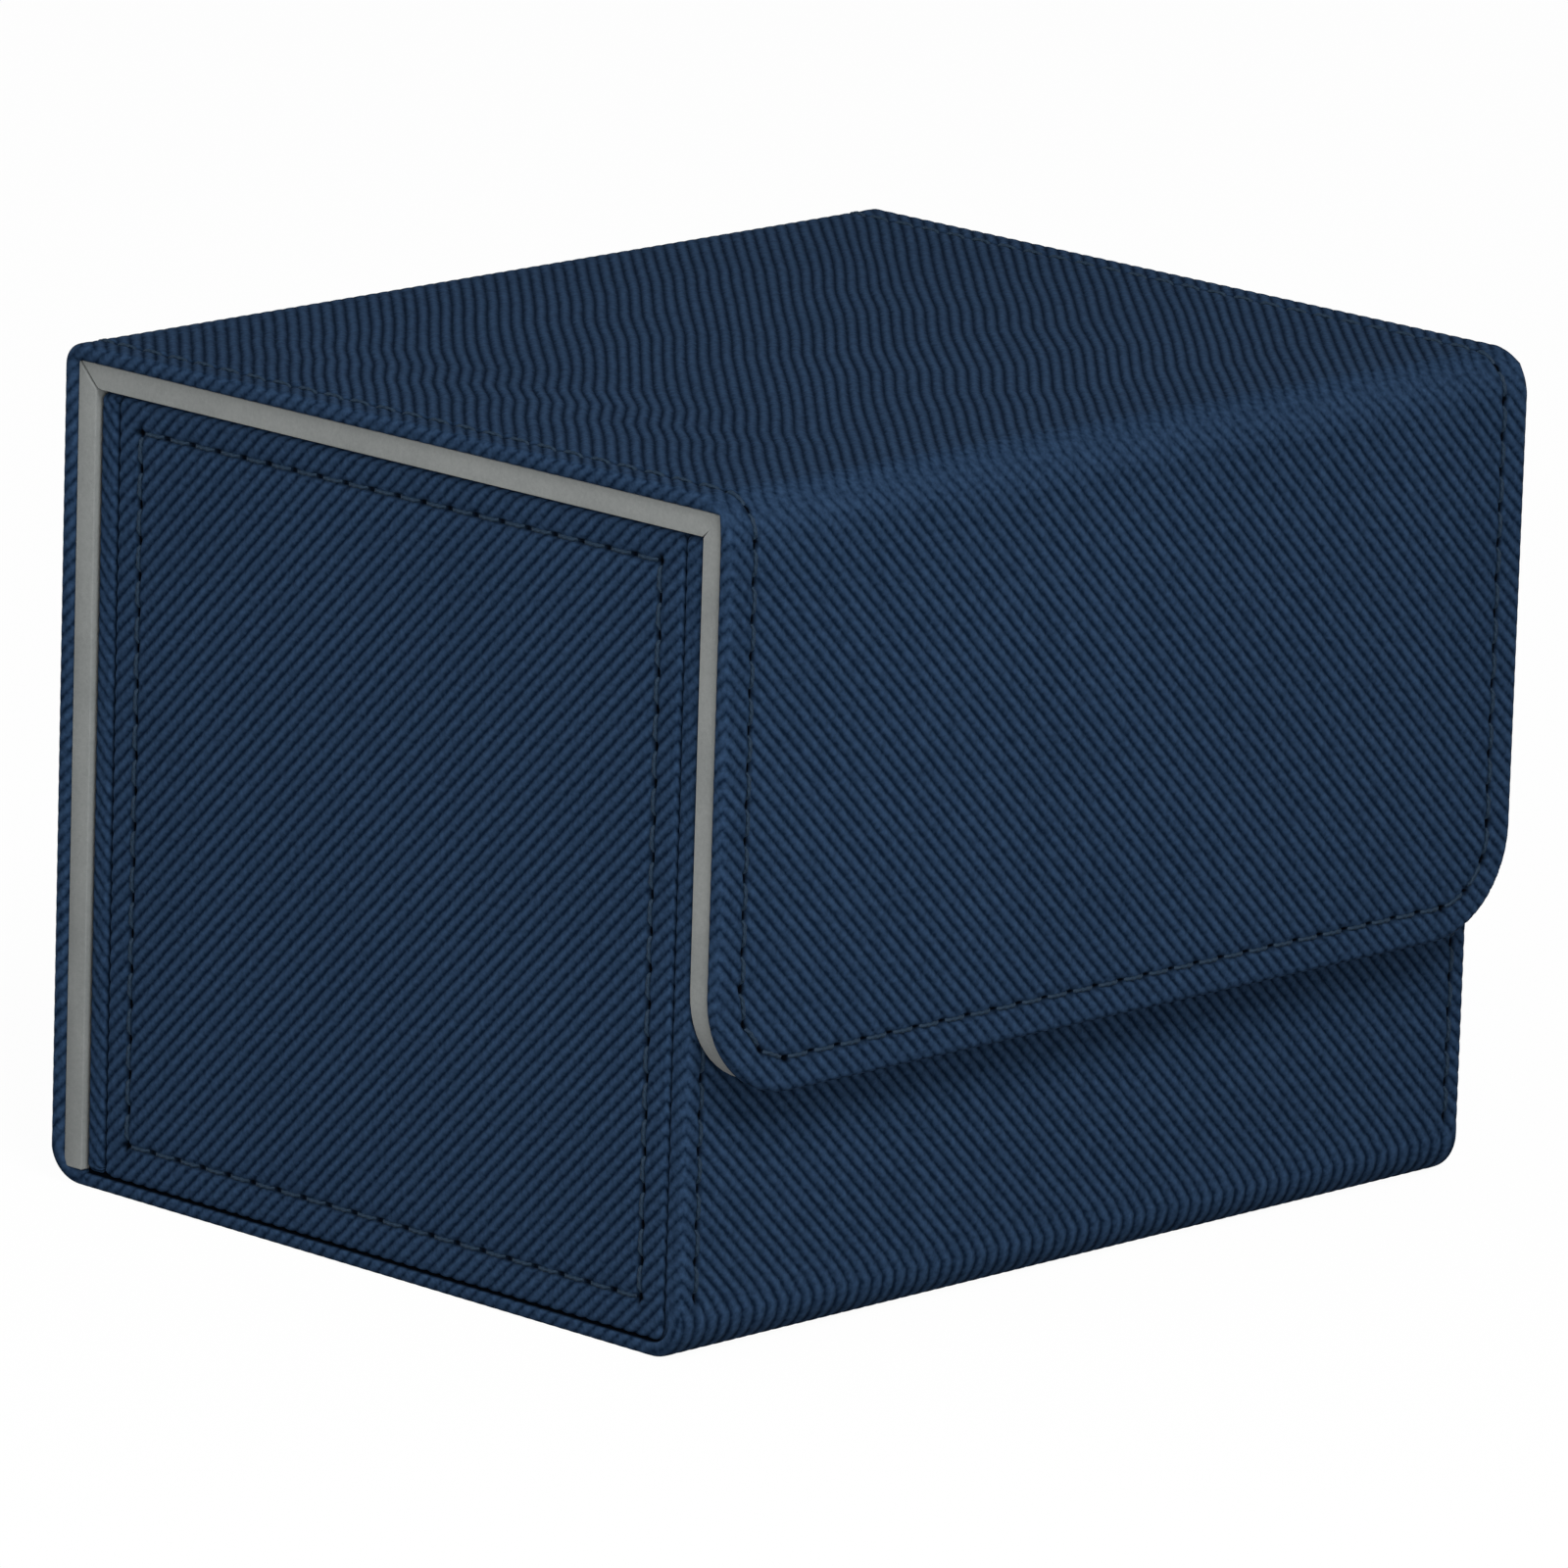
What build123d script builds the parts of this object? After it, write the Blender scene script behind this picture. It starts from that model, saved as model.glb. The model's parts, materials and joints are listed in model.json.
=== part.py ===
"""Side-opening card box: a leather-covered tray, a lid hinged on a leather fold and a magnetic front flap.

Millimetres. The origin is the middle of the footprint on the table,
+X runs along the front, +Y to the back and +Z up. The box is closed.
"""
import os

from build123d import *

# Sizes of the closed box
cover_width = 106.0
tray_depth = 78.4
tray_height = 76.0
flap_height = 55.4
flap_corner_radius = 10.0

# Layers of the cover, from the outside in
leather = 0.7
stiffener = 0.9
panel_board = 1.9
lining = 0.5
closing_gap = 0.2

# Boards of the tray
wall_board = 1.6
floor_board = 1.5
end_board = 2.0
seam_gap = 0.15
lining_drop = 1.0

# Steps along X from the cover's edge to the grey edges and to the tray's ends
lining_setback = 0.5
tray_setback = 0.8

# Folds and edges of the leather
rear_fold_radius = 3.3
front_fold_radius = 4.4
rear_foot_radius = 3.3
front_foot_radius = 3.9
rear_lining_foot = 1.2
mitre_gap = 0.2
hem_round = 0.6

# Stitching, which lies in a pressed groove
stitch_pitch = 3.4
stitch_length = 2.6
thread_width = 0.5
thread_thickness = 0.25
groove_width = 0.8
groove_depth = 0.3
cover_stitch_inset = 3.3
front_stitch_inset = 2.0
end_stitch_inset = 3.0

# Magnets that hold the flap
magnet_radius = 5.0
magnet_thickness = 1.5
magnet_spacing = 56.0
magnet_rise = 9.0
magnet_clearance = 0.1

# Places along X
half_cover = cover_width / 2
half_lining = half_cover - lining_setback
half_tray = half_cover - tray_setback
end_wall = leather + end_board
half_inside = half_tray - end_wall

# Places along Y, the same in front and behind
half_tray_depth = tray_depth / 2
front_wall = leather + wall_board
half_inside_depth = half_tray_depth - front_wall
lining_face = half_tray_depth + closing_gap
lining_back = lining_face + lining + panel_board
half_depth = lining_back + stiffener + leather

# Places along Z
floor_top = leather + floor_board
lining_bottom = floor_top + lining
lining_top = tray_height - lining_drop
lid_lining_face = tray_height + closing_gap
lid_lining_back = lid_lining_face + lining + panel_board
cover_height = lid_lining_back + stiffener + leather
flap_bottom = cover_height - flap_height
magnet_height = flap_bottom + magnet_rise

# Centres of the folds, as (y, z)
rear_fold = (half_depth - rear_fold_radius, cover_height - rear_fold_radius)
front_fold = (front_fold_radius - half_depth, cover_height - front_fold_radius)
rear_foot = (half_depth - rear_foot_radius, rear_foot_radius)
front_foot = (front_foot_radius - half_tray_depth, front_foot_radius)
lid_length = rear_fold[0] - front_fold[0]
lid_middle = (rear_fold[0] + front_fold[0]) / 2

# How much further a mitred end steps back along its panel than square to the mitre
mitre_step_share = 2**0.5


def save(piece, name):
    """Name a finished piece and write its STEP file."""
    piece.part.label = name
    export_step(piece.part, f"parts/{name}.step")


def span(low, high):
    """Middle and length of a stretch, for placing a rectangle by its two ends."""
    return (low + high) / 2, high - low


def cover_outline():
    """Space inside the cover leather, seen along X, with an arc at each fold."""
    with BuildSketch() as outline:
        with Locations((0, cover_height / 2)):
            Rectangle(2 * (half_depth - leather), cover_height - 2 * leather)
        corners = ((-1, 0, front_fold_radius), (-1, -1, rear_fold_radius), (0, -1, rear_foot_radius))
        for row, end, radius in corners:
            fillet(outline.vertices().group_by(Axis.Y)[row].sort_by(Axis.X)[end], radius)
    return outline.sketch


def tray_outline():
    """Space inside the leather of the tray, seen along X, with an arc at the lower front fold."""
    with BuildSketch() as outline:
        middle, height = span(leather, tray_height)
        with Locations((leather / 2, middle)):
            Rectangle(tray_depth - leather, height)
        fillet(outline.vertices().group_by(Axis.Y)[0].sort_by(Axis.X)[0], front_foot_radius)
    return outline.sketch


def flap_outline(inset, lower_radius):
    """Front view of the flap, set in from its sides and lower edge, up to the lid's outer face."""
    with BuildSketch() as outline:
        middle, height = span(flap_bottom + inset, cover_height)
        with Locations((0, middle)):
            Rectangle(2 * (half_cover - inset), height)
        fillet(outline.vertices().group_by(Axis.Y)[0], lower_radius)
    return outline.sketch


def below(height):
    """Half plane under a height, as wide as the cover, for trimming front views."""
    with BuildSketch() as region:
        Rectangle(cover_width, height, align=(Align.CENTER, Align.MIN))
    return region.sketch


def hem_section(plane, half_width, inner, core):
    """C section of leather turned round the two edges of a core, drawn in a plane with its outer face up."""
    with BuildSketch(plane) as section:
        middle, height = span(inner, inner + core + leather)
        with Locations((0, middle)):
            Rectangle(2 * half_width, height)
        fillet(section.vertices().group_by(Axis.Y)[-1], hem_round)
        with Locations((0, inner)):
            Rectangle(2 * (half_width - leather), core, align=(Align.CENTER, Align.MIN), mode=Mode.SUBTRACT)
    return section.sketch


def cut_grooves(plane, half_spacing, length):
    """Press two straight stitch grooves, which run along the plane's second axis, into its face."""
    with BuildSketch(plane) as grooves:
        with Locations((-half_spacing, 0), (half_spacing, 0)):
            Rectangle(groove_width, length)
    extrude(grooves.sketch, amount=-groove_depth, mode=Mode.SUBTRACT)


def stitch_line(start, end):
    """Straight stitch line from one corner to the other."""
    with BuildLine() as line:
        Line(start, end)
    return line.wires()[0]


def stitch_places(path):
    """Evenly spaced places of whole stitches along a path, each turned to its heading."""
    count = max(1, round(path.length / stitch_pitch))
    places = []
    for stitch in range(count):
        share = (stitch + 0.5) / count
        heading = Vector(1, 0).get_signed_angle(path.tangent_at(share), Axis.Z.direction)
        places.append(Location(path.position_at(share), (0, 0, heading)))
    return places


def save_stitches(face, paths, name):
    """Write the stitches that lie in the grooves of a face, which is given as a plane."""
    places = [place for path in paths for place in stitch_places(path)]
    with BuildPart() as stitching:
        with BuildSketch(face.offset(-groove_depth)):
            with Locations(*places):
                SlotOverall(stitch_length, thread_width)
        extrude(amount=thread_thickness)
    save(stitching, name)


def save_fold(name, half_width, centre, radius, inner_corner):
    """Write a quarter turn of the leather strip, closed at its two ends by the turned hem.

    The strip turns about a line along X through centre, and inner_corner is
    the corner of the layers that it goes round.
    """
    outward_y = 1 if inner_corner[0] > centre[0] else -1
    outward_z = 1 if inner_corner[1] > centre[1] else -1
    with BuildSketch() as inside:
        with Locations(centre):
            Circle(radius - leather)
        middle_y, depth = span(centre[0], inner_corner[0])
        middle_z, height = span(centre[1], inner_corner[1])
        with Locations((middle_y, middle_z)):
            Rectangle(abs(depth), abs(height), mode=Mode.INTERSECT)
    with BuildPart() as fold:
        strip_face = Plane((0, centre[0], centre[1]), x_dir=(1, 0, 0), z_dir=(0, -outward_z, 0))
        with BuildSketch(strip_face) as strip:
            with Locations((0, radius - leather)):
                Rectangle(2 * half_width, leather, align=(Align.CENTER, Align.MIN))
            fillet(strip.vertices().group_by(Axis.Y)[-1], hem_round)
        turn = Axis((0, centre[0], centre[1]), (-outward_y * outward_z, 0, 0))
        revolve(axis=turn, revolution_arc=90)
        for side in (-1, 1):
            with BuildSketch(Plane.YZ.offset(side * half_width)):
                with Locations(centre):
                    Circle(radius - hem_round)
                with Locations((centre[0] + outward_y * radius / 2, centre[1] + outward_z * radius / 2)):
                    Rectangle(radius, radius, mode=Mode.INTERSECT)
                add(inside.sketch, mode=Mode.SUBTRACT)
            extrude(amount=-side * leather)
    save(fold, name)


def save_plate(name, along_x, along_y, along_z):
    """Write a plain rectangular sheet from its two ends along each axis."""
    with BuildPart() as plate:
        middle_x, length = span(*along_x)
        middle_y, depth = span(*along_y)
        with BuildSketch(Plane.XY.offset(along_z[0])):
            with Locations((middle_x, middle_y)):
                Rectangle(length, depth)
        extrude(amount=along_z[1] - along_z[0])
    save(plate, name)


def lid_profile(inset):
    """Section of the lid's grey panel seen along X, mitred at both ends and set in by its lining."""
    face = lining_face - mitre_gap + inset * (1 - mitre_step_share)
    back = face + lid_lining_back - lid_lining_face - inset
    with BuildSketch() as profile:
        with BuildLine():
            Polyline(
                (-back, lid_lining_back),
                (back, lid_lining_back),
                (face, lid_lining_face + inset),
                (-face, lid_lining_face + inset),
                close=True,
            )
        make_face()
        add(cover_outline(), mode=Mode.INTERSECT)
    return profile.sketch


def upright_profile(side, bottom, inset):
    """Section of an upright grey panel seen along X: side 1 is the rear panel and side -1 the flap."""
    face = lining_face + inset
    top = lid_lining_face + inset * (1 - mitre_step_share)
    with BuildSketch() as profile:
        with BuildLine():
            Polyline(
                (side * face, bottom),
                (side * lining_back, bottom),
                (side * lining_back, top + lining_back - face),
                (side * face, top),
                close=True,
            )
        make_face()
        add(cover_outline(), mode=Mode.INTERSECT)
    return profile.sketch


os.makedirs("parts", exist_ok=True)

# Base: the leather that stands on the table, turned up round the ends of the floor board
with BuildPart() as base_leather:
    upside_down = Plane((0, rear_foot[0], 0), x_dir=(1, 0, 0), z_dir=(0, 1, 0))
    section = hem_section(upside_down, half_tray, -floor_top, floor_board)
    extrude(section, amount=front_foot[0] - rear_foot[0])
    with BuildSketch(Plane.XY.offset(leather)):
        middle, depth = span(half_tray_depth, half_depth)
        with Locations((0, middle)):
            Rectangle(cover_width, depth)
    extrude(amount=floor_board, mode=Mode.SUBTRACT)
save(base_leather, "base_leather")

with BuildPart() as base_board:
    with BuildSketch(Plane.YZ):
        with Locations((0, leather)):
            Rectangle(tray_depth, floor_board, align=(Align.CENTER, Align.MIN))
        add(tray_outline(), mode=Mode.INTERSECT)
    extrude(amount=half_tray - leather, both=True)
save(base_board, "base_board")

# Front wall: leather turned round its sides and top edge, with a board that stands on the floor board
front_stitch_x = half_tray - front_stitch_inset
with BuildPart() as front_leather:
    middle, height = span(front_foot_radius, tray_height)
    with BuildSketch(Plane.XZ.offset(half_tray_depth)):
        with Locations((0, middle)):
            Rectangle(2 * half_tray, height)
    extrude(amount=-front_wall)
    outer_edges = front_leather.faces().sort_by(Axis.Y)[0].edges()
    fillet(outer_edges.sort_by(Axis.Z)[1:], hem_round)
    with BuildSketch(Plane.XZ.offset(half_tray_depth - leather)):
        with Locations((0, front_foot_radius)):
            Rectangle(2 * (half_tray - leather), height - leather, align=(Align.CENTER, Align.MIN))
    extrude(amount=-wall_board, mode=Mode.SUBTRACT)
    front_face = Plane((0, -half_tray_depth, middle), x_dir=(1, 0, 0), z_dir=(0, -1, 0))
    front_stitch_length = height - 2 * front_stitch_inset
    cut_grooves(front_face, front_stitch_x, front_stitch_length)
save(front_leather, "front_leather")

with BuildPart() as front_board:
    middle_y, thickness = span(-half_tray_depth + leather, -half_inside_depth)
    middle_z, height = span(floor_top, tray_height - leather)
    with BuildSketch(Plane.YZ):
        with Locations((middle_y, middle_z)):
            Rectangle(thickness, height)
        add(tray_outline(), mode=Mode.INTERSECT)
    extrude(amount=half_tray - leather, both=True)
    with BuildSketch(Plane.XZ.offset(half_tray_depth - leather)):
        with Locations((-magnet_spacing / 2, magnet_height), (magnet_spacing / 2, magnet_height)):
            Circle(magnet_radius + magnet_clearance)
    extrude(amount=-magnet_thickness, mode=Mode.SUBTRACT)
save(front_board, "front_board")

# Rear wall of the tray, which stands on the floor board beside the rear panel
with BuildPart() as tray_rear_leather:
    middle, height = span(floor_top, tray_height)
    with BuildSketch(Plane.XZ.offset(-half_inside_depth)):
        with Locations((0, middle)):
            Rectangle(2 * half_tray, height)
    extrude(amount=-front_wall)
    outer_edges = tray_rear_leather.faces().sort_by(Axis.Y)[-1].edges()
    fillet(outer_edges.sort_by(Axis.Z)[1:], hem_round)
    with BuildSketch(Plane.XZ.offset(-half_inside_depth)):
        with Locations((0, floor_top)):
            Rectangle(2 * (half_tray - leather), height - leather, align=(Align.CENTER, Align.MIN))
    extrude(amount=-wall_board, mode=Mode.SUBTRACT)
save(tray_rear_leather, "tray_rear_leather")

board_ends = (leather - half_tray, half_tray - leather)
save_plate(
    "tray_rear_board",
    board_ends,
    (half_inside_depth, half_inside_depth + wall_board),
    (floor_top, tray_height - leather),
)

# End panels between the two walls, each with its rectangle of stitching
end_half = half_inside_depth - seam_gap
end_middle, end_height = span(floor_top, tray_height)
end_stitch_half = end_half - end_stitch_inset
end_stitch_bottom = floor_top + end_stitch_inset
end_stitch_top = tray_height - end_stitch_inset
end_corners = [
    (-end_stitch_half, end_stitch_bottom),
    (end_stitch_half, end_stitch_bottom),
    (end_stitch_half, end_stitch_top),
    (-end_stitch_half, end_stitch_top),
]
end_paths = [stitch_line(end_corners[i - 1], end_corners[i]) for i in range(len(end_corners))]
for side, name in ((-1, "left"), (1, "right")):
    outside = Plane((side * half_tray, 0, 0), x_dir=(0, side, 0), z_dir=(side, 0, 0))
    with BuildPart() as end_leather:
        with BuildSketch(outside):
            with Locations((0, end_middle)):
                Rectangle(2 * end_half, end_height)
        extrude(amount=-end_wall)
        outer_face = end_leather.faces().sort_by(Axis.X)[0 if side < 0 else -1]
        fillet(outer_face.edges(), hem_round)
        with BuildSketch(outside.offset(-leather)):
            with Locations((0, end_middle)):
                Rectangle(2 * (end_half - leather), end_height - 2 * leather)
        extrude(amount=-end_board, mode=Mode.SUBTRACT)
        with BuildSketch(outside):
            middle, height = span(end_stitch_bottom, end_stitch_top)
            with Locations((0, middle)):
                Rectangle(2 * end_stitch_half + groove_width, height + groove_width)
                Rectangle(2 * end_stitch_half - groove_width, height - groove_width, mode=Mode.SUBTRACT)
        extrude(amount=-groove_depth, mode=Mode.SUBTRACT)
    save(end_leather, f"{name}_end_leather")

    board_faces = sorted((side * (half_tray - leather), side * half_inside))
    save_plate(
        f"{name}_end_board",
        board_faces,
        (leather - end_half, end_half - leather),
        (floor_top + leather, tray_height - leather),
    )
    save_stitches(outside, end_paths, f"{name}_end_stitching")

# Microfibre inside the tray
save_plate(
    "floor_lining",
    (-half_inside, half_inside),
    (-half_inside_depth, half_inside_depth),
    (floor_top, lining_bottom),
)
for side, name in ((-1, "front_lining"), (1, "tray_rear_lining")):
    faces = sorted((side * half_inside_depth, side * (half_inside_depth - lining)))
    save_plate(name, (-half_inside, half_inside), faces, (lining_bottom, lining_top))
for side, name in ((-1, "left_lining"), (1, "right_lining")):
    faces = sorted((side * half_inside, side * (half_inside - lining)))
    depth = half_inside_depth - lining
    save_plate(name, faces, (-depth, depth), (lining_bottom, lining_top))

# Rear panel: leather and stiffener outside, a board wrapped in grey microfibre inside
cover_stitch_x = half_cover - cover_stitch_inset
rear_middle, rear_height = span(rear_foot[1], rear_fold[1])
rear_face = Plane((0, half_depth, rear_middle), x_dir=(-1, 0, 0), z_dir=(0, 1, 0))
with BuildPart() as rear_leather:
    section = hem_section(Plane.XY.offset(rear_foot[1]), half_cover, lining_back, stiffener)
    extrude(section, amount=rear_height)
    cut_grooves(rear_face, cover_stitch_x, rear_height)
save(rear_leather, "rear_leather")

stiffener_ends = (leather - half_cover, half_cover - leather)
save_plate(
    "rear_stiffener",
    stiffener_ends,
    (lining_back, lining_back + stiffener),
    (rear_foot[1], rear_fold[1]),
)

with BuildPart() as rear_panel_board:
    with BuildSketch(Plane.YZ):
        add(upright_profile(1, rear_lining_foot + lining, lining))
    extrude(amount=half_lining - lining, both=True)
save(rear_panel_board, "rear_panel_board")

with BuildPart() as rear_panel_lining:
    with BuildSketch(Plane.YZ):
        add(upright_profile(1, rear_lining_foot, 0))
    extrude(amount=half_lining, both=True)
    add(rear_panel_board.part, mode=Mode.SUBTRACT)
save(rear_panel_lining, "rear_panel_lining")

# Lid: the same layers lying flat
lid_face = Plane((0, lid_middle, cover_height), x_dir=(1, 0, 0), z_dir=(0, 0, 1))
with BuildPart() as lid_leather:
    section = hem_section(Plane.XZ.offset(-rear_fold[0]), half_cover, lid_lining_back, stiffener)
    extrude(section, amount=lid_length)
    cut_grooves(lid_face, cover_stitch_x, lid_length)
save(lid_leather, "lid_leather")

save_plate(
    "lid_stiffener",
    stiffener_ends,
    (front_fold[0], rear_fold[0]),
    (lid_lining_back, lid_lining_back + stiffener),
)

with BuildPart() as lid_board:
    with BuildSketch(Plane.YZ):
        add(lid_profile(lining))
    extrude(amount=half_lining - lining, both=True)
save(lid_board, "lid_board")

with BuildPart() as lid_lining:
    with BuildSketch(Plane.YZ):
        add(lid_profile(0))
    extrude(amount=half_lining, both=True)
    add(lid_board.part, mode=Mode.SUBTRACT)
save(lid_lining, "lid_lining")

# Flap: the same layers hanging in front, with two rounded lower corners
stitch_radius = flap_corner_radius - cover_stitch_inset
with BuildPart() as flap_leather:
    with BuildSketch(Plane.XZ.offset(lining_back)):
        add(flap_outline(0, flap_corner_radius))
        add(below(front_fold[1]), mode=Mode.INTERSECT)
    extrude(amount=stiffener + leather)
    outer_edges = flap_leather.faces().sort_by(Axis.Y)[0].edges()
    fillet(outer_edges.sort_by(Axis.Z)[:-1], hem_round)
    with BuildSketch(Plane.XZ.offset(lining_back)):
        add(flap_outline(leather, flap_corner_radius - leather))
        add(below(front_fold[1]), mode=Mode.INTERSECT)
    extrude(amount=stiffener, mode=Mode.SUBTRACT)
    with BuildSketch(Plane.XZ.offset(half_depth)):
        half_groove = groove_width / 2
        add(flap_outline(cover_stitch_inset - half_groove, stitch_radius + half_groove))
        add(flap_outline(cover_stitch_inset + half_groove, stitch_radius - half_groove), mode=Mode.SUBTRACT)
        add(below(front_fold[1]), mode=Mode.INTERSECT)
    extrude(amount=-groove_depth, mode=Mode.SUBTRACT)
save(flap_leather, "flap_leather")

with BuildPart() as flap_stiffener:
    with BuildSketch(Plane.XZ.offset(lining_back)):
        add(flap_outline(leather, flap_corner_radius - leather))
        add(below(front_fold[1]), mode=Mode.INTERSECT)
    extrude(amount=stiffener)
save(flap_stiffener, "flap_stiffener")

board_inset = lining_setback + lining
with BuildPart() as flap_core:
    with BuildSketch(Plane.XZ):
        add(flap_outline(board_inset, flap_corner_radius - board_inset))
    extrude(amount=half_depth)
    with BuildSketch(Plane.YZ):
        add(upright_profile(-1, flap_bottom, lining))
    extrude(amount=half_cover, both=True, mode=Mode.INTERSECT)

with BuildPart() as flap_board:
    add(flap_core.part)
    with BuildSketch(Plane.XZ.offset(lining_face + lining)):
        with Locations((-magnet_spacing / 2, magnet_height), (magnet_spacing / 2, magnet_height)):
            Circle(magnet_radius + magnet_clearance)
    extrude(amount=magnet_thickness, mode=Mode.SUBTRACT)
save(flap_board, "flap_board")

with BuildPart() as flap_lining:
    with BuildSketch(Plane.XZ):
        add(flap_outline(lining_setback, flap_corner_radius - lining_setback))
    extrude(amount=half_depth)
    with BuildSketch(Plane.YZ):
        add(upright_profile(-1, flap_bottom, 0))
    extrude(amount=half_cover, both=True, mode=Mode.INTERSECT)
    add(flap_core.part, mode=Mode.SUBTRACT)
save(flap_lining, "flap_lining")

# Magnets, flush with the faces of their boards that look at each other
for name, face, inward in (
    ("tray_magnets", half_tray_depth - leather, -1),
    ("flap_magnets", lining_face + lining, 1),
):
    with BuildPart() as magnets:
        with BuildSketch(Plane.XZ.offset(face)):
            with Locations((-magnet_spacing / 2, magnet_height), (magnet_spacing / 2, magnet_height)):
                Circle(magnet_radius)
        extrude(amount=inward * magnet_thickness)
    save(magnets, name)

# Folds of the cover strip
save_fold("front_foot_leather", half_tray, front_foot, front_foot_radius, (-half_inside_depth, floor_top))
save_fold("rear_foot_leather", half_cover, rear_foot, rear_foot_radius, (lining_back, rear_lining_foot))
save_fold("rear_fold_leather", half_cover, rear_fold, rear_fold_radius, (lining_back, lid_lining_back))
save_fold("front_fold_leather", half_cover, front_fold, front_fold_radius, (-lining_back, lid_lining_back))

# Stitching of the cover strip
half_run = front_stitch_length / 2
front_paths = [stitch_line((x, -half_run), (x, half_run)) for x in (-front_stitch_x, front_stitch_x)]
save_stitches(front_face, front_paths, "front_stitching")

for name, face, length in (
    ("rear_stitching", rear_face, rear_height),
    ("lid_stitching", lid_face, lid_length),
):
    half_run = length / 2
    paths = [stitch_line((x, -half_run), (x, half_run)) for x in (-cover_stitch_x, cover_stitch_x)]
    save_stitches(face, paths, name)

with BuildLine() as flap_path:
    FilletPolyline(
        (-cover_stitch_x, front_fold[1]),
        (-cover_stitch_x, flap_bottom + cover_stitch_inset),
        (cover_stitch_x, flap_bottom + cover_stitch_inset),
        (cover_stitch_x, front_fold[1]),
        radius=stitch_radius,
    )
save_stitches(Plane.XZ.offset(half_depth), [flap_path.wires()[0]], "flap_stitching")
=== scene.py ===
# %% [markdown]
# # A side-opening card box in ribbed blue leather
# The real box is one long strip of ribbed leather that runs from the flap over the lid, down the rear,
# under the base and up the front wall. Grey microfibre panels lie inside it and a small leather tray
# stands in the middle. The CAD model fixes every size. This lesson loads it as a frame and dresses it:
# each piece of leather becomes a sheet with real ribs, turned hems and pressed stitch lines.

# %% Load the frame
import json
import math

import bmesh
import bpy
import numpy as np
from mathutils import Matrix, Vector

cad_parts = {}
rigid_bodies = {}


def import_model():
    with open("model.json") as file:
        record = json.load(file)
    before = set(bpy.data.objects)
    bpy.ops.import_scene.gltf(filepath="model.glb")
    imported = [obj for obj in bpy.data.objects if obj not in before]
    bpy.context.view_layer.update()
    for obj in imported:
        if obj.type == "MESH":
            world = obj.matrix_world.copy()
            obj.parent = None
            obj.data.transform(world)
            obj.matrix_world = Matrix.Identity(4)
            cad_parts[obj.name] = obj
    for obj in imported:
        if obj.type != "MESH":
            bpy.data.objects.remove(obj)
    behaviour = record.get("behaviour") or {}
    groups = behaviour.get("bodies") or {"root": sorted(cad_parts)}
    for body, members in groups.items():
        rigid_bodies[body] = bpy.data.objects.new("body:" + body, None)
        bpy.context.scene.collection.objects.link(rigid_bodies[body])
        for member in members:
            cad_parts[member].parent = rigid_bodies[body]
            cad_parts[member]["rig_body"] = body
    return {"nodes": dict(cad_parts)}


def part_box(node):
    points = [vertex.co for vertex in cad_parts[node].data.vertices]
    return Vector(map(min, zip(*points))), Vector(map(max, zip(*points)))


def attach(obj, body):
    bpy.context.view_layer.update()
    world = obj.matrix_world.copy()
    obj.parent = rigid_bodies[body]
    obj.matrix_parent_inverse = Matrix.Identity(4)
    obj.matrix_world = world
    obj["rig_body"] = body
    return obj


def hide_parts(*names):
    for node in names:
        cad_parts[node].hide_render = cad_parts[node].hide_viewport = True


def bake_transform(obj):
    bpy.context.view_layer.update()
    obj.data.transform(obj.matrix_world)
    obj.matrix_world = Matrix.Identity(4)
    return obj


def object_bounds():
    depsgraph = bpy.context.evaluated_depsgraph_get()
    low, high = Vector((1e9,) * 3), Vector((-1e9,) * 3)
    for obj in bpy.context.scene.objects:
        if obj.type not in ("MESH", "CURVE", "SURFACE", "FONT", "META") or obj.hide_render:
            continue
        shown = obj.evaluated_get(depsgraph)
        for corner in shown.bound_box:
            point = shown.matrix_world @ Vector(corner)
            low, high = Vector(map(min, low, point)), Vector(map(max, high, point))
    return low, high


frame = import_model()
cad_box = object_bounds()
MM = 0.001
print("frame loaded:", len(frame["nodes"]), "nodes")

# %% [markdown]
# The leather strip is followed as a path seen from the side, made of straight runs and quarter turns
# whose sizes are read from the CAD nodes. A point of the strip needs only two numbers: u, its place
# across the width, and v, how far along the strip it lies. So the ribs run on from one panel to the
# next, as on a strip that is cut from one sheet.

# %% Path of the strip
RUNS = (
    ("flap_leather", (0, 1)),
    ("front_fold_leather", None),
    ("lid_leather", (1, 0)),
    ("rear_fold_leather", None),
    ("rear_leather", (0, -1)),
    ("rear_foot_leather", None),
    ("base_leather", (-1, 0)),
    ("front_foot_leather", None),
    ("front_leather", (0, 1)),
)

FOLD_RADIUS = {"rear_fold_leather": 2.2 * MM}
UPPER_FOLDS = ("front_fold_leather", "rear_fold_leather")
cover_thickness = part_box("lid_leather")[1].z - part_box("lid_leather")[0].z


def follow_strip():
    """Each stretch of the strip, and where each node starts and ends along it."""
    stretches = {}
    limits = {}
    low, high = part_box("flap_leather")
    place = np.array((low.y, low.z))
    heading = np.array((0.0, 1.0))
    along = 0.0
    entry = (along, place)
    for node, direction in RUNS:
        low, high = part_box(node)
        size = np.array((high.y - low.y, high.z - low.z))
        if direction is not None:
            length = abs(size @ np.array(direction))
            stretches[node] = (*entry, heading, None)
            limits[node] = (along, along + length)
            place = place + heading * length
            along += length
            continue
        reach = max(size)
        radius = FOLD_RADIUS.get(node, reach)
        straight = reach - radius
        inward = np.array((heading[1], -heading[0]))
        stretches[node] = (along + straight, place + heading * straight, heading, radius)
        length = 2 * straight + radius * math.pi / 2
        limits[node] = (along, along + length)
        place = place + (heading + inward) * reach
        along += length
        entry = (along - straight, place - inward * straight)
        heading = inward
    return stretches, limits


strip, strip_limits = follow_strip()


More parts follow.
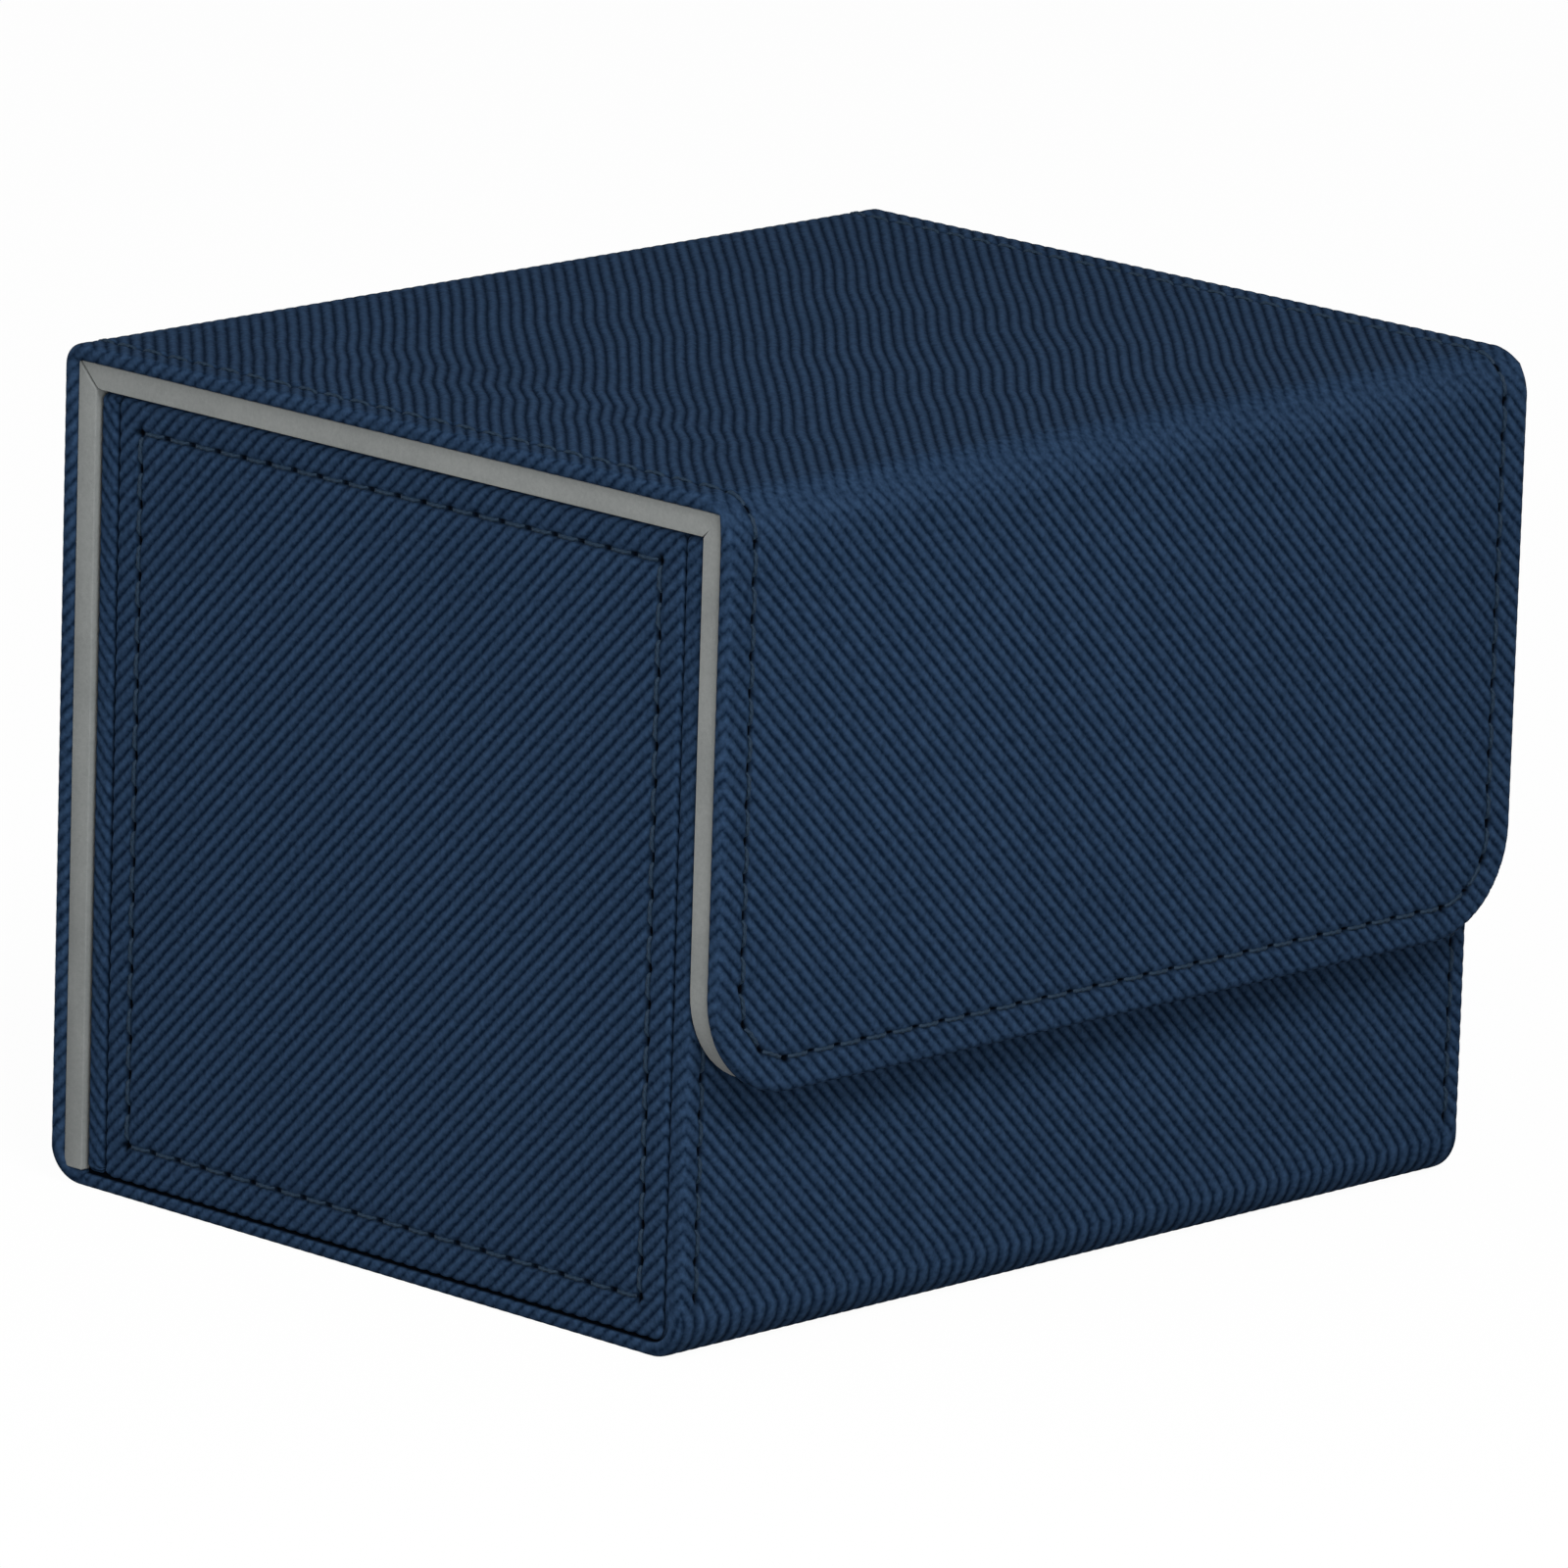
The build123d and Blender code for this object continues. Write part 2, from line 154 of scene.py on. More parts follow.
def strip_start(node):
    return strip_limits[node][0]


def strip_end(node):
    return strip_limits[node][1]


def strip_middle(node):
    return sum(strip_limits[node]) / 2


def strip_share(node, v):
    """How far v lies into a node: 0 at its start and 1 at its end."""
    start, end = strip_limits[node]
    return (v - start) / (end - start)


def crease(turn, radius):
    """Share of the thickness that is left round a fold whose inside is a sharp corner."""
    inner = radius - cover_thickness
    return (radius - inner / np.maximum(np.cos(turn), np.sin(turn))) / cover_thickness


def on_strip(u, v, height):
    """Put points of the flat strip, raised by height, on the path."""
    y = np.zeros_like(v)
    z = np.zeros_like(v)
    names = list(strip)
    for node in names:
        along, place, heading, radius = strip[node]
        inside = (v >= along) | (node == names[0])
        s = v[inside] - along
        h = height[inside]
        inward = np.array((heading[1], -heading[0]))
        if radius is None:
            forward = s
            sideways = -h
        else:
            turn = s / radius
            if node in UPPER_FOLDS:
                h = np.where(h < 0, h * crease(turn, radius), h)
            forward = (radius + h) * np.sin(turn)
            sideways = radius - (radius + h) * np.cos(turn)
        y[inside] = place[0] + heading[0] * forward + inward[0] * sideways
        z[inside] = place[1] + heading[1] * forward + inward[1] * sideways
    return np.stack((u, y, z), 1)


def along_strip(node, points):
    """How far along the strip points on a straight stretch lie."""
    along, place, heading, _ = strip[node]
    return along + (points[:, 1:] - place) @ heading


print("strip length", round(strip_end("front_leather") / MM, 1), "mm")

# %% [markdown]
# The ribs lean at about 45 degrees. On the flap and the front wall they fall to the right. On the lid
# they run the other way, so they turn in a soft chevron on the two upper folds. Round the two lower
# folds they run straight. One curve along the strip says how far the ribs have moved sideways at each
# place.

# %% Ribs
RIB_PITCH = 1.517 * MM
END_RIB_PITCH = 1.58 * MM
RIB_DEPTH = 0.2 * MM
RIB_COLUMNS = (0.0, 0.08, 0.19, 0.34, 0.5, 0.66, 0.81, 0.92)
RIB_SHARPNESS = 1.8
FOLD_FADE = 0.5
FOLD_FADE_WIDTH = 2.8 * MM
FOOT_FADE = 0.75
FOOT_FADE_STEEPNESS = 1.6
LID_LEAN = 0.93
CHEVRON_ROUND = 1.2 * MM
FOOT_ROUND = 0.6 * MM
FOOT_TURN = 0.4 * MM
LEAN_CHANGES = (
    (strip_middle("front_fold_leather"), -1 - LID_LEAN, CHEVRON_ROUND),
    (strip_middle("rear_fold_leather"), 1 + LID_LEAN, CHEVRON_ROUND),
    (strip_start("rear_foot_leather") - FOOT_TURN, -1, FOOT_ROUND),
    (strip_end("rear_foot_leather"), -1, FOOT_ROUND),
    (strip_start("front_foot_leather"), 1, FOOT_ROUND),
    (strip_end("front_foot_leather") + FOOT_TURN, 1, FOOT_ROUND),
)


def strip_lean(v):
    """Sideways shift of the ribs at v, whose slope changes softly at each turn."""
    shift = v.copy()
    for turn, change, softness in LEAN_CHANGES:
        shift += change / 2 * (v - turn + np.hypot(v - turn, softness))
    return shift


def strip_fade(v):
    """How much of the ribs is left along the strip, as the upper folds stretch them flat."""
    left = np.ones_like(v)
    for node in UPPER_FOLDS:
        left -= FOLD_FADE * np.exp(-(((v - strip_middle(node)) / FOLD_FADE_WIDTH) ** 2))
    return left


def foot_fade(v):
    """The weight of the box presses the ribs flat under the base and low on the two feet."""
    past_rear = strip_share("rear_foot_leather", v)
    before_front = 1 - strip_share("front_foot_leather", v)
    under = np.minimum(past_rear, before_front)
    return 1 - FOOT_FADE * np.clip(FOOT_FADE_STEEPNESS * under, 0, 1)


def end_lean(v):
    return -v


def no_fade(v):
    return np.ones_like(v)


def rib_height(phase):
    """Height of the ribbed surface: -1 in the narrow valleys and 0 on the broad crests."""
    share = phase - np.floor(phase)
    return -np.abs(2 * share - 1) ** RIB_SHARPNESS


# %% [markdown]
# A ribbed sheet starts as a grid whose columns follow the ribs, eight to a rib and closer near the
# valley. Its rows lie wherever a hem or a fold needs them. Bisect trims the leaning grid at the edges
# of the panel. On the side hems of the real box the ribs double back in a chevron, so a strip along
# each edge is copied and mirrored outwards. More bisects add the lines along which the hems turn and
# the stitches press in.

# %% Sheet helpers
CUT_THRESHOLD = 1e-8
MERGED = 0.0001 * MM
ROW_DIGITS = 7


def mode(kind):
    bpy.ops.object.mode_set(mode=kind)


def activate(*pieces):
    """Select these pieces and no others, and make the first one active."""
    bpy.ops.object.select_all(action="DESELECT")
    for piece in pieces:
        piece.select_set(True)
    bpy.context.view_layer.objects.active = pieces[0]


def get_points(piece):
    points = np.zeros(len(piece.data.vertices) * 3)
    piece.data.vertices.foreach_get("co", points)
    return points.reshape(-1, 3)


def set_points(piece, points):
    piece.data.vertices.foreach_set("co", points.astype(np.float32).ravel())
    piece.data.update()


def bisect(place, normal, **settings):
    bpy.ops.mesh.select_all(action="SELECT")
    bpy.ops.mesh.bisect(plane_co=place, plane_no=normal, threshold=CUT_THRESHOLD, **settings)


def double_back(sheet, edge, width):
    """Copy a strip inside both edges of the sheet and mirror it outwards."""
    bpy.ops.mesh.select_mode(type="FACE")
    for side in (-1, 1):
        bisect((side * (edge - width), 0, 0), (1, 0, 0))
        bpy.ops.mesh.select_all(action="DESELECT")
        form = bmesh.from_edit_mesh(sheet.data)
        for face in form.faces:
            face.select_set(edge - width < side * face.calc_center_median().x < edge)
        bmesh.update_edit_mesh(sheet.data)
        bpy.ops.mesh.duplicate()
        bpy.ops.transform.resize(value=(-1, 1, 1), center_override=(side * edge, 0, 0))
    bpy.ops.mesh.select_all(action="SELECT")
    bpy.ops.mesh.remove_doubles(threshold=MERGED)
    form = bmesh.from_edit_mesh(sheet.data)
    form.normal_update()
    bmesh.ops.reverse_faces(form, faces=[face for face in form.faces if face.normal.z < 0])
    bmesh.update_edit_mesh(sheet.data)


def doubled_back(u, edge):
    """The place whose rib reaches u: u itself inside the edge, its mirror image outside."""
    return np.where(np.abs(u) > edge, np.sign(u) * 2 * edge - u, u)


def rib_sheet(name, half_width, edge, rows, cuts, lean, pitch):
    """A flat sheet with columns along the ribs, doubled back at its edges and cut along lines."""
    shift = lean(rows)
    first = math.floor((shift.min() - edge) / pitch)
    last = math.ceil((shift.max() + edge) / pitch)
    columns = np.array([(rib + share) * pitch for rib in range(first, last) for share in RIB_COLUMNS])
    wide = len(columns) - 1
    long = len(rows) - 1
    bpy.ops.mesh.primitive_grid_add(x_subdivisions=wide, y_subdivisions=long, size=2)
    sheet = bpy.context.object
    sheet.name = name
    sheet.data.name = name
    points = get_points(sheet)
    column = np.rint((points[:, 0] + 1) / 2 * wide).astype(int)
    row = np.rint((points[:, 1] + 1) / 2 * long).astype(int)
    set_points(sheet, np.stack((columns[column] - shift[row], rows[row], np.zeros(len(points))), 1))
    mode("EDIT")
    bisect((-edge, 0, 0), (1, 0, 0), clear_inner=True)
    bisect((edge, 0, 0), (1, 0, 0), clear_outer=True)
    double_back(sheet, edge, half_width - edge)
    for cut in cuts:
        bisect((cut, 0, 0), (1, 0, 0))
    mode("OBJECT")
    return sheet


def rows_from(low, high, step, *closer):
    """Row places at about one step, closer where a stretch (first, last, near) asks for it."""
    places = [np.linspace(low, high, max(2, round((high - low) / step) + 1))]
    for first, last, near in closer:
        first, last = max(first, low), min(last, high)
        places = [part[(part < first - near / 2) | (part > last + near / 2)] for part in places]
        places.append(np.linspace(first, last, max(2, round((last - first) / near) + 1)))
    places.append(np.array((low, high)))
    return np.unique(np.round(np.concatenate(places), ROW_DIGITS))


# %% [markdown]
# A hem is leather that turns round the edge of what it covers: a small quarter turn, the flat edge and
# another quarter turn to the back. The distance of a point outside the flat part says where on this
# turn it lies. The same rule works along straight edges and round the flap's two corners.

# %% Hems
LEAST_RADIUS = 0.2 * MM
TINY = 1e-12


class Hem:
    """Turned edge: thickness, two radii, how far it tucks in behind, how flat its ribs are."""

    def __init__(self, thickness, outer, inner, tuck, pressing):
        self.thickness = thickness
        self.pressing = pressing
        self.outer = outer
        self.inner = inner
        self.tuck = tuck
        self.flat = thickness - outer - inner
        self.first = outer * math.pi / 2
        self.second = self.first + self.flat
        self.third = self.second + inner * math.pi / 2
        self.length = self.third + tuck

    def turn(self, s):
        """Outward place, depth and surface normal at a distance s into the hem."""
        s = np.clip(s, 0, self.length)
        one = np.clip(s, 0, self.first) / self.outer
        two = np.clip(s - self.first, 0, self.flat)
        three = np.clip(s - self.second, 0, self.third - self.second) / self.inner
        four = np.clip(s - self.third, 0, self.tuck)
        out = self.outer * np.sin(one) - self.inner * (1 - np.cos(three)) - four
        depth = self.outer * (1 - np.cos(one)) + two + self.inner * np.sin(three)
        return out, depth, np.sin(one + three), np.cos(one + three)

    def lines(self, half_width, count=4):
        """Places across the width where the side hems need an edge."""
        flat_half = half_width - self.outer
        turns = [self.first * k / count for k in range(count + 1)]
        turns += [self.second + (self.third - self.second) * k / count for k in range(count + 1)]
        places = sorted(set(round(flat_half + turn, 8) for turn in turns))
        return [-place for place in places] + places


def edge_distance(u, v, half_width, low, high, corner, hem):
    """Distance outside the flat part of a panel, and its way. An end without a hem is None."""
    radius = max(corner - hem.outer, LEAST_RADIUS)
    past_u = np.abs(u) - (half_width - hem.outer - radius)
    past_low = np.full_like(v, -1.0) if low is None else low + hem.outer + radius - v
    past_high = np.full_like(v, -1.0) if high is None else v - (high - hem.outer - radius)
    past_v = np.maximum(past_low, past_high)
    over_u = np.maximum(past_u, 0)
    over_v = np.maximum(past_v, 0)
    reach = np.hypot(over_u, over_v)
    distance = np.where(reach > 0, reach, np.maximum(past_u, past_v)) - radius
    safe = np.maximum(reach, TINY)
    way_u = np.sign(u) * over_u / safe
    way_v = np.where(past_high > past_low, 1, -1) * over_v / safe
    return distance, way_u, way_v


# %% [markdown]
# The stitches are read from the CAD nodes, so that the pressed lines, the needle holes and the thread
# agree. Each loose part of a stitching node is one stitch, with a middle and a long direction. On the
# real box the side seams run on over the two upper folds, so a few more stitches are spaced out
# there.

# %% Stitch places
NEAR = 0.001 * MM


def stitch_places(node):
    """Middle and direction of every stitch of a CAD node."""
    form = bmesh.new()
    form.from_mesh(frame["nodes"][node].data)
    bmesh.ops.remove_doubles(form, verts=form.verts, dist=NEAR)
    form.verts.ensure_lookup_table()
    seen = set()
    middles = []
    directions = []
    for seed in form.verts:
        if seed.index in seen:
            continue
        island = []
        queue = [seed]
        seen.add(seed.index)
        while queue:
            vertex = queue.pop()
            island.append(vertex.co[:])
            for edge in vertex.link_edges:
                other = edge.other_vert(vertex)
                if other.index not in seen:
                    seen.add(other.index)
                    queue.append(other)
        points = np.array(island)
        middle = (points.min(0) + points.max(0)) / 2
        directions.append(np.linalg.svd(points - middle)[2][0])
        middles.append(middle)
    form.free()
    return np.array(middles), np.array(directions)


STITCH_PITCH = 3.4 * MM
PRESS_WIDTH = 0.45 * MM
PRESS_DEPTH = 0.2 * MM
HOLE_WIDTH = 0.27 * MM
HOLE_LENGTH = 0.66 * MM
HOLE_DEPTH = 0.3 * MM
SMALL_STEP = 0.1 * MM
stitches = {node: stitch_places(node) for node in frame["nodes"] if node.endswith("_stitching")}
cover_stitch = np.abs(stitches["lid_stitching"][0][:, 0]).mean()


def fold_seam(first, last):
    """Places, across and along, of the stitches that carry a seam over a fold."""
    count = round((last - first) / STITCH_PITCH)
    along = np.linspace(first, last, count + 1)[1:-1]
    return np.array([(side * cover_stitch, v) for side in (-1, 1) for v in along])


seam_along = {}
for side in ("flap", "lid", "rear"):
    seam_along[side] = along_strip(f"{side}_leather", stitches[f"{side}_stitching"][0])
fold_seams = {
    "front_fold": fold_seam(seam_along["flap"].max(), seam_along["lid"].min()),
    "rear_fold": fold_seam(seam_along["lid"].max(), seam_along["rear"].min()),
}
for seam, places in fold_seams.items():
    u, v = places.T
    level = np.zeros_like(u)
    chords = on_strip(u, v + SMALL_STEP, level) - on_strip(u, v - SMALL_STEP, level)
    stitches[seam] = (on_strip(u, v, level), chords / np.linalg.norm(chords, axis=1)[:, None])


def press_stitches(points, normals, seams):
    """Depth of the pressed seams at flat points, and nearness to a stitch and to a hole."""
    depth = np.zeros(len(points))
    line = np.zeros(len(points))
    hole = np.zeros(len(points))
    for middle, direction in (stitch for seam in seams for stitch in zip(*stitches[seam])):
        near = np.flatnonzero(np.abs(points - middle).max(1) < STITCH_PITCH)
        offset = points[near] - middle
        along = np.abs(offset @ direction)
        lift = (offset * normals[near]).sum(1)
        across = np.sqrt(np.maximum((offset ** 2).sum(1) - along ** 2 - lift ** 2, 0))
        end = np.clip((STITCH_PITCH / 2 + PRESS_WIDTH - along) / PRESS_WIDTH, 0, 1)
        groove = np.exp(-((across / PRESS_WIDTH) ** 2)) * end
        from_hole = (along - STITCH_PITCH / 2) / HOLE_LENGTH
        prick = np.exp(-((across / HOLE_WIDTH) ** 2) - from_hole ** 2)
        depth[near] = np.maximum(depth[near], PRESS_DEPTH * groove + HOLE_DEPTH * prick)
        line[near] = np.maximum(line[near], groove)
        # Nearness to a needle hole is later painted dark in the leather, a painted shade.
        hole[near] = np.maximum(hole[near], prick)
    return depth, line, hole


print("stitches:", {node: len(places[0]) for node, places in stitches.items()})

# %% [markdown]
# Now the pieces can be made in the maker's order: cut the sheet, emboss the ribs, press the stitch
# lines, turn the hems, lay the sheet on the box, and close its back. Two attributes guide the
# material: rib keeps the height of the ribs, from which the crests get painted light and the valleys
# painted shade, and the other marks the needle holes and the seam over the base, which are painted dark
# as painted shade.

# %% Leather maker
COVER_HEM = Hem(1.6 * MM, 0.7 * MM, 0.55 * MM, 2.0 * MM, 0.88)
WALL_HEM = Hem(2.25 * MM, 0.7 * MM, 0.5 * MM, 0.0, 0.75)
END_HEM = Hem(2.65 * MM, 0.6 * MM, 0.5 * MM, 0.0, 0.35)
GROOVE_LINES = [offset * MM for offset in (-0.68, -0.42, -0.2, 0.0, 0.2, 0.42, 0.68)]
FLATTENED_BY_THREAD = 0.75
HEM_FADE = 0.3
HEM_FADE_START = -0.8 * MM
DEPTH_LOSS = 2.6
MEAN_RIB = -0.3
SEAM_LEVEL = 1.35 * MM
SEAM_WIDTH = 0.12 * MM
SEAM_STEP = 0.5 * MM
END_OVERLAP = 0.58 * MM


def around(*places):
    """Lines on both sides of each stitch line, left and right."""
    return [side * place + line for place in places for side in (-1, 1) for line in GROOVE_LINES]


def no_shift(first, second):
    return np.zeros_like(first)


def drop_faces(sheet, chosen):
    """Delete the chosen faces, which are given as a mask."""
    mesh = sheet.data
    mesh.vertices.foreach_set("select", np.zeros(len(mesh.vertices), bool))
    mesh.edges.foreach_set("select", np.zeros(len(mesh.edges), bool))
    mesh.polygons.foreach_set("select", chosen)
    mode("EDIT")
    bpy.ops.mesh.select_mode(type="FACE")
    bpy.ops.mesh.delete(type="FACE")
    mode("OBJECT")


def leather(name, place, half_width, rows, hem, lean, pitch, low=None, high=None, corner=0.0,
            seams=(), stitch_lines=(), lines=(), fade=no_fade, press=no_fade, wave=no_shift,
            sink=no_shift, caps=(), bridged=False):
    """Make one embossed, hemmed sheet, lay it on the box with place(u, v, height) and close it."""
    cuts = [*hem.lines(half_width), *around(*stitch_lines), *lines]
    edge = half_width - hem.outer + hem.first / 2
    sheet = rib_sheet(name, half_width - hem.outer + hem.length, edge, rows, cuts, lean, pitch)
    u, v, _ = get_points(sheet).T
    distance, _, _ = edge_distance(u, v, half_width, low, high, corner, hem)
    beyond = distance > hem.length - MERGED
    spare = np.array([all(beyond[i] for i in face.vertices) for face in sheet.data.polygons])
    if spare.any():
        drop_faces(sheet, spare)
    u, v, _ = get_points(sheet).T
    flat = place(u, v, np.zeros_like(u))
    normals = (place(u, v, np.full_like(u, SMALL_STEP)) - flat) / SMALL_STEP
    pressed, line, hole = press_stitches(flat, normals, seams)
    rib = rib_height((doubled_back(u, edge) + lean(v)) / pitch)
    u = u + wave(u, v)
    distance, way_u, way_v = edge_distance(u, v, half_width, low, high, corner, hem)
    outside = np.maximum(distance, 0)
    turned = np.clip((distance - HEM_FADE_START) / (hem.first / 2 - HEM_FADE_START), 0, 1)
    free = 1 - FLATTENED_BY_THREAD * line
    left = fade(v) * (1 - HEM_FADE * turned) * free
    kept = fade(v) ** DEPTH_LOSS * press(v) * (1 - hem.pressing * turned) * free
    lift = RIB_DEPTH * rib * kept - pressed
    out, depth, normal_out, normal_up = hem.turn(outside)
    sunk = sink(depth, v)
    reach = np.where(distance > 0, out + normal_out * lift - sunk - outside, 0)
    height = np.where(distance > 0, normal_up * lift - depth, lift)
    set_points(sheet, place(u + way_u * reach, v + way_v * reach, height))
    marks = {
        # Painted light and shade: rib paints the crests lighter and the valleys darker; where the ribs
        # fade it moves towards MEAN_RIB.
        "rib": 1 + rib * left + MEAN_RIB * (1 - left),
        # Painted shade: the needle holes and the sunk seam above the base are marked to be painted
        # dark.
        "hole": np.maximum(hole, sunk / SEAM_STEP),
    }
    for mark, values in marks.items():
        shade = sheet.data.attributes.new(mark, "FLOAT", "POINT")
        shade.data.foreach_set("value", values.astype(np.float32))
    return close_back(sheet, caps, bridged)


print("hem length", round(COVER_HEM.length / MM, 2), "mm")

# %% [markdown]
# The back of each sheet is closed, so that the leather is a body with a thickness. The border is
# marked sharp first. Then the cut ends are capped, and on a bent strip the two turned edges are
# bridged.

# %% Close the back
SIDE_MARGIN = 0.05 * MM


def choose_border(sheet, test=lambda a, b: True):
    """Select the open border edges that pass a test, and nothing else, and count them."""
    bpy.ops.mesh.select_all(action="DESELECT")
    bpy.ops.mesh.select_non_manifold(
        use_wire=False, use_multi_face=False, use_non_contiguous=False, use_verts=False,
    )
    form = bmesh.from_edit_mesh(sheet.data)
    border = [edge for edge in form.edges if edge.select]
    bpy.ops.mesh.select_all(action="DESELECT")
    kept = [edge for edge in border if test(edge.verts[0].co, edge.verts[1].co)]
    for edge in kept:
        edge.select_set(True)
    bmesh.update_edit_mesh(sheet.data)
    return len(kept)


def close_back(sheet, caps, bridged):
    """Cap the ends, each an (axis, place), bridge the sides if asked, and fill what is left."""
    activate(sheet)
    bpy.ops.object.shade_smooth()
    mode("EDIT")
    bpy.ops.mesh.select_mode(type="EDGE")
    choose_border(sheet)
    bpy.ops.mesh.mark_sharp()
    for axis, value in caps:
        choose_border(sheet, lambda a, b: max(abs(a[axis] - value), abs(b[axis] - value)) < NEAR)
        bpy.ops.mesh.edge_face_add()
    if bridged:
        form = bmesh.from_edit_mesh(sheet.data)
        widest = max(abs(vertex.co.x) for vertex in form.verts if vertex.is_boundary)
        side = widest - SIDE_MARGIN
        choose_border(sheet, lambda a, b: a.x * b.x > 0 and min(abs(a.x), abs(b.x)) > side)
        bpy.ops.mesh.bridge_edge_loops()
    if choose_border(sheet):
        bpy.ops.mesh.edge_face_add()
    left = choose_border(sheet)
    mode("OBJECT")
    print(f"{sheet.name}: {len(sheet.data.polygons)} faces, {left} open edges")
    return sheet


# %% [markdown]
# The cover is made in five stretches of the one strip, because two of them bend when the box opens.
# The folds take a little of the flat leather on both sides, so that neighbours meet on a flat and
# share their ribs. On the lid the sheet has loosened and its ribs waver.

# %% Cover leather
half_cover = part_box("lid_leather")[1].x
half_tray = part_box("front_leather")[1].x
Y, Z = 1, 2
FOLD_MARGIN = 1.5 * MM
FLAP_CORNER = 10.0 * MM
ROW_STEP = 2.0 * MM
TURN_STEP = 0.35 * MM
LID_ROW_STEP = 1.0 * MM
WAVE_REACH = 0.42 * MM
WAVE_POINTING = 0.92
WAVES_ALONG = 3.4
HEM_CALM = 0.16
FOLD_CALM = 0.1
COVER = {
    "half_width": half_cover,
    "hem": COVER_HEM,
    "lean": strip_lean,
    "pitch": RIB_PITCH,
    "fade": strip_fade,
    "stitch_lines": (cover_stitch,),
}


def lid_wave(u, v):
    """Sideways wander of the lid's ribs, which dies away towards the hems and the folds."""
    across = u / half_cover
    along = strip_share("lid_leather", v)
    from_hems = np.clip((1 - np.abs(across)) / HEM_CALM - 0.5, 0, 1)
    from_folds = np.clip(np.minimum(along, 1 - along) / FOLD_CALM - 0.4, 0, 1)
    calm = from_hems * from_folds
    bend = 0.4 * np.sin(3.1 * across + 1.2) + 0.25 * np.sin(6.1 * across - 1.7)
    bend = bend + 0.12 * np.sin(11 * across + 2 * along)
    swell = np.sin(4.4 * across + 0.6) * np.sin(5.1 * along - 2.3 * across + 0.9)
    zigzag = np.arcsin(WAVE_POINTING * np.sin(2 * math.pi * (WAVES_ALONG * along + bend)))
    swing = zigzag * (0.55 + 0.45 * swell)
    quick = 0.22 * np.sin(2 * math.pi * (6.3 * along - 1.4 * across)) * (0.5 - 0.5 * swell)
    slow = 0.5 * np.sin(2 * math.pi * (1.6 * along - 0.7 * across) + 0.7)
    return WAVE_REACH * calm * (0.8 * swing + quick + slow)


flap_end = strip_end("flap_leather") - FOLD_MARGIN
flap_first = COVER_HEM.outer - COVER_HEM.length
flap_corners = (flap_first, FLAP_CORNER + COVER_HEM.outer, TURN_STEP)
flap_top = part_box("flap_leather")[1].z - FOLD_MARGIN
flap_skin = leather(
    "flap_skin", on_strip, rows=rows_from(flap_first, flap_end, ROW_STEP, flap_corners), low=0.0,
    corner=FLAP_CORNER, seams=("flap_stitching", "front_fold"), caps=[(Z, flap_top)], **COVER,
)

# %% Lid and rear leather
lid_first = strip_start("lid_leather") + FOLD_MARGIN
lid_last = strip_end("lid_leather") - FOLD_MARGIN
lid_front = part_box("lid_leather")[0].y + FOLD_MARGIN
lid_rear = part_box("lid_leather")[1].y - FOLD_MARGIN
lid_skin = leather(
    "lid_skin", on_strip, rows=rows_from(lid_first, lid_last, LID_ROW_STEP), wave=lid_wave,
    seams=("lid_stitching", "front_fold", "rear_fold"), caps=[(Y, lid_front), (Y, lid_rear)], **COVER,
)

tray_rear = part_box("tray_rear_leather")[1].y
base_first = strip_start("base_leather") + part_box("base_leather")[1].y - tray_rear
rear_first = strip_start("rear_leather") + FOLD_MARGIN
rear_foot = (*strip_limits["rear_foot_leather"], TURN_STEP)
rear_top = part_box("rear_leather")[1].z - FOLD_MARGIN


def on_rear(u, v, height):
    """The rear part of the strip, which narrows round its foot to the width of the tray."""
    share = np.clip(strip_share("rear_foot_leather", v), 0, 1)
    return on_strip(u * (1 - (1 - half_tray / half_cover) * share), v, height)


rear_skin = leather(
    "rear_skin", on_rear, rows=rows_from(rear_first, base_first, ROW_STEP, rear_foot), press=foot_fade,
    seams=("rear_stitching", "rear_fold"), caps=[(Z, rear_top), (Y, tray_rear)], bridged=True, **COVER,
)

# %% Folds of the cover
front_fold_skin = leather(
    "front_fold_skin", on_strip, rows=rows_from(flap_end, lid_first, TURN_STEP),
    seams=("front_fold", "flap_stitching", "lid_stitching"), caps=[(Z, flap_top), (Y, lid_front)],
    bridged=True, **COVER,
)
rear_fold_skin = leather(
    "rear_fold_skin", on_strip, rows=rows_from(lid_last, rear_first, TURN_STEP),
    seams=("rear_fold", "lid_stitching", "rear_stitching"), caps=[(Y, lid_rear), (Z, rear_top)],
    bridged=True, **COVER,
)

# %% [markdown]
# The same strip goes on under the tray and up its front, a little narrower. It is turned round thicker
# boards here, so its hem shows as a broad ribbed edge. The end panels and the rear wall of the tray are
# separate pieces, wrapped round their boards on all four sides. They lap over the hem of the base,
# which is sunk behind them, and the seam there is painted dark as painted shade.

# %% Tray leather
front_stitch = np.abs(stitches["front_stitching"][0][:, 0]).mean()
front_end = strip_end("front_leather")
front_last = front_end - WALL_HEM.outer + WALL_HEM.length
SMALL_CORNER = 0.8 * MM
HEM_ROW_STEP = 0.25 * MM
HEM_ROW_MARGIN = 0.5 * MM
GROOVE_ROW_STEP = 0.3 * MM
seam_start = half_tray - 2 * WALL_HEM.outer + WALL_HEM.first + SEAM_LEVEL
seam_lines = [side * (seam_start + step) for side in (-1, 1) for step in (0, SEAM_WIDTH)]


def base_seam(depth, v):
    """How far the hem of the base is sunk in above the seam, where the end panels lap over it."""
    share = np.clip(1 - strip_share("front_foot_leather", v), 0, 1)
    return SEAM_STEP * share * np.clip((depth - SEAM_LEVEL) / SEAM_WIDTH, 0, 1)


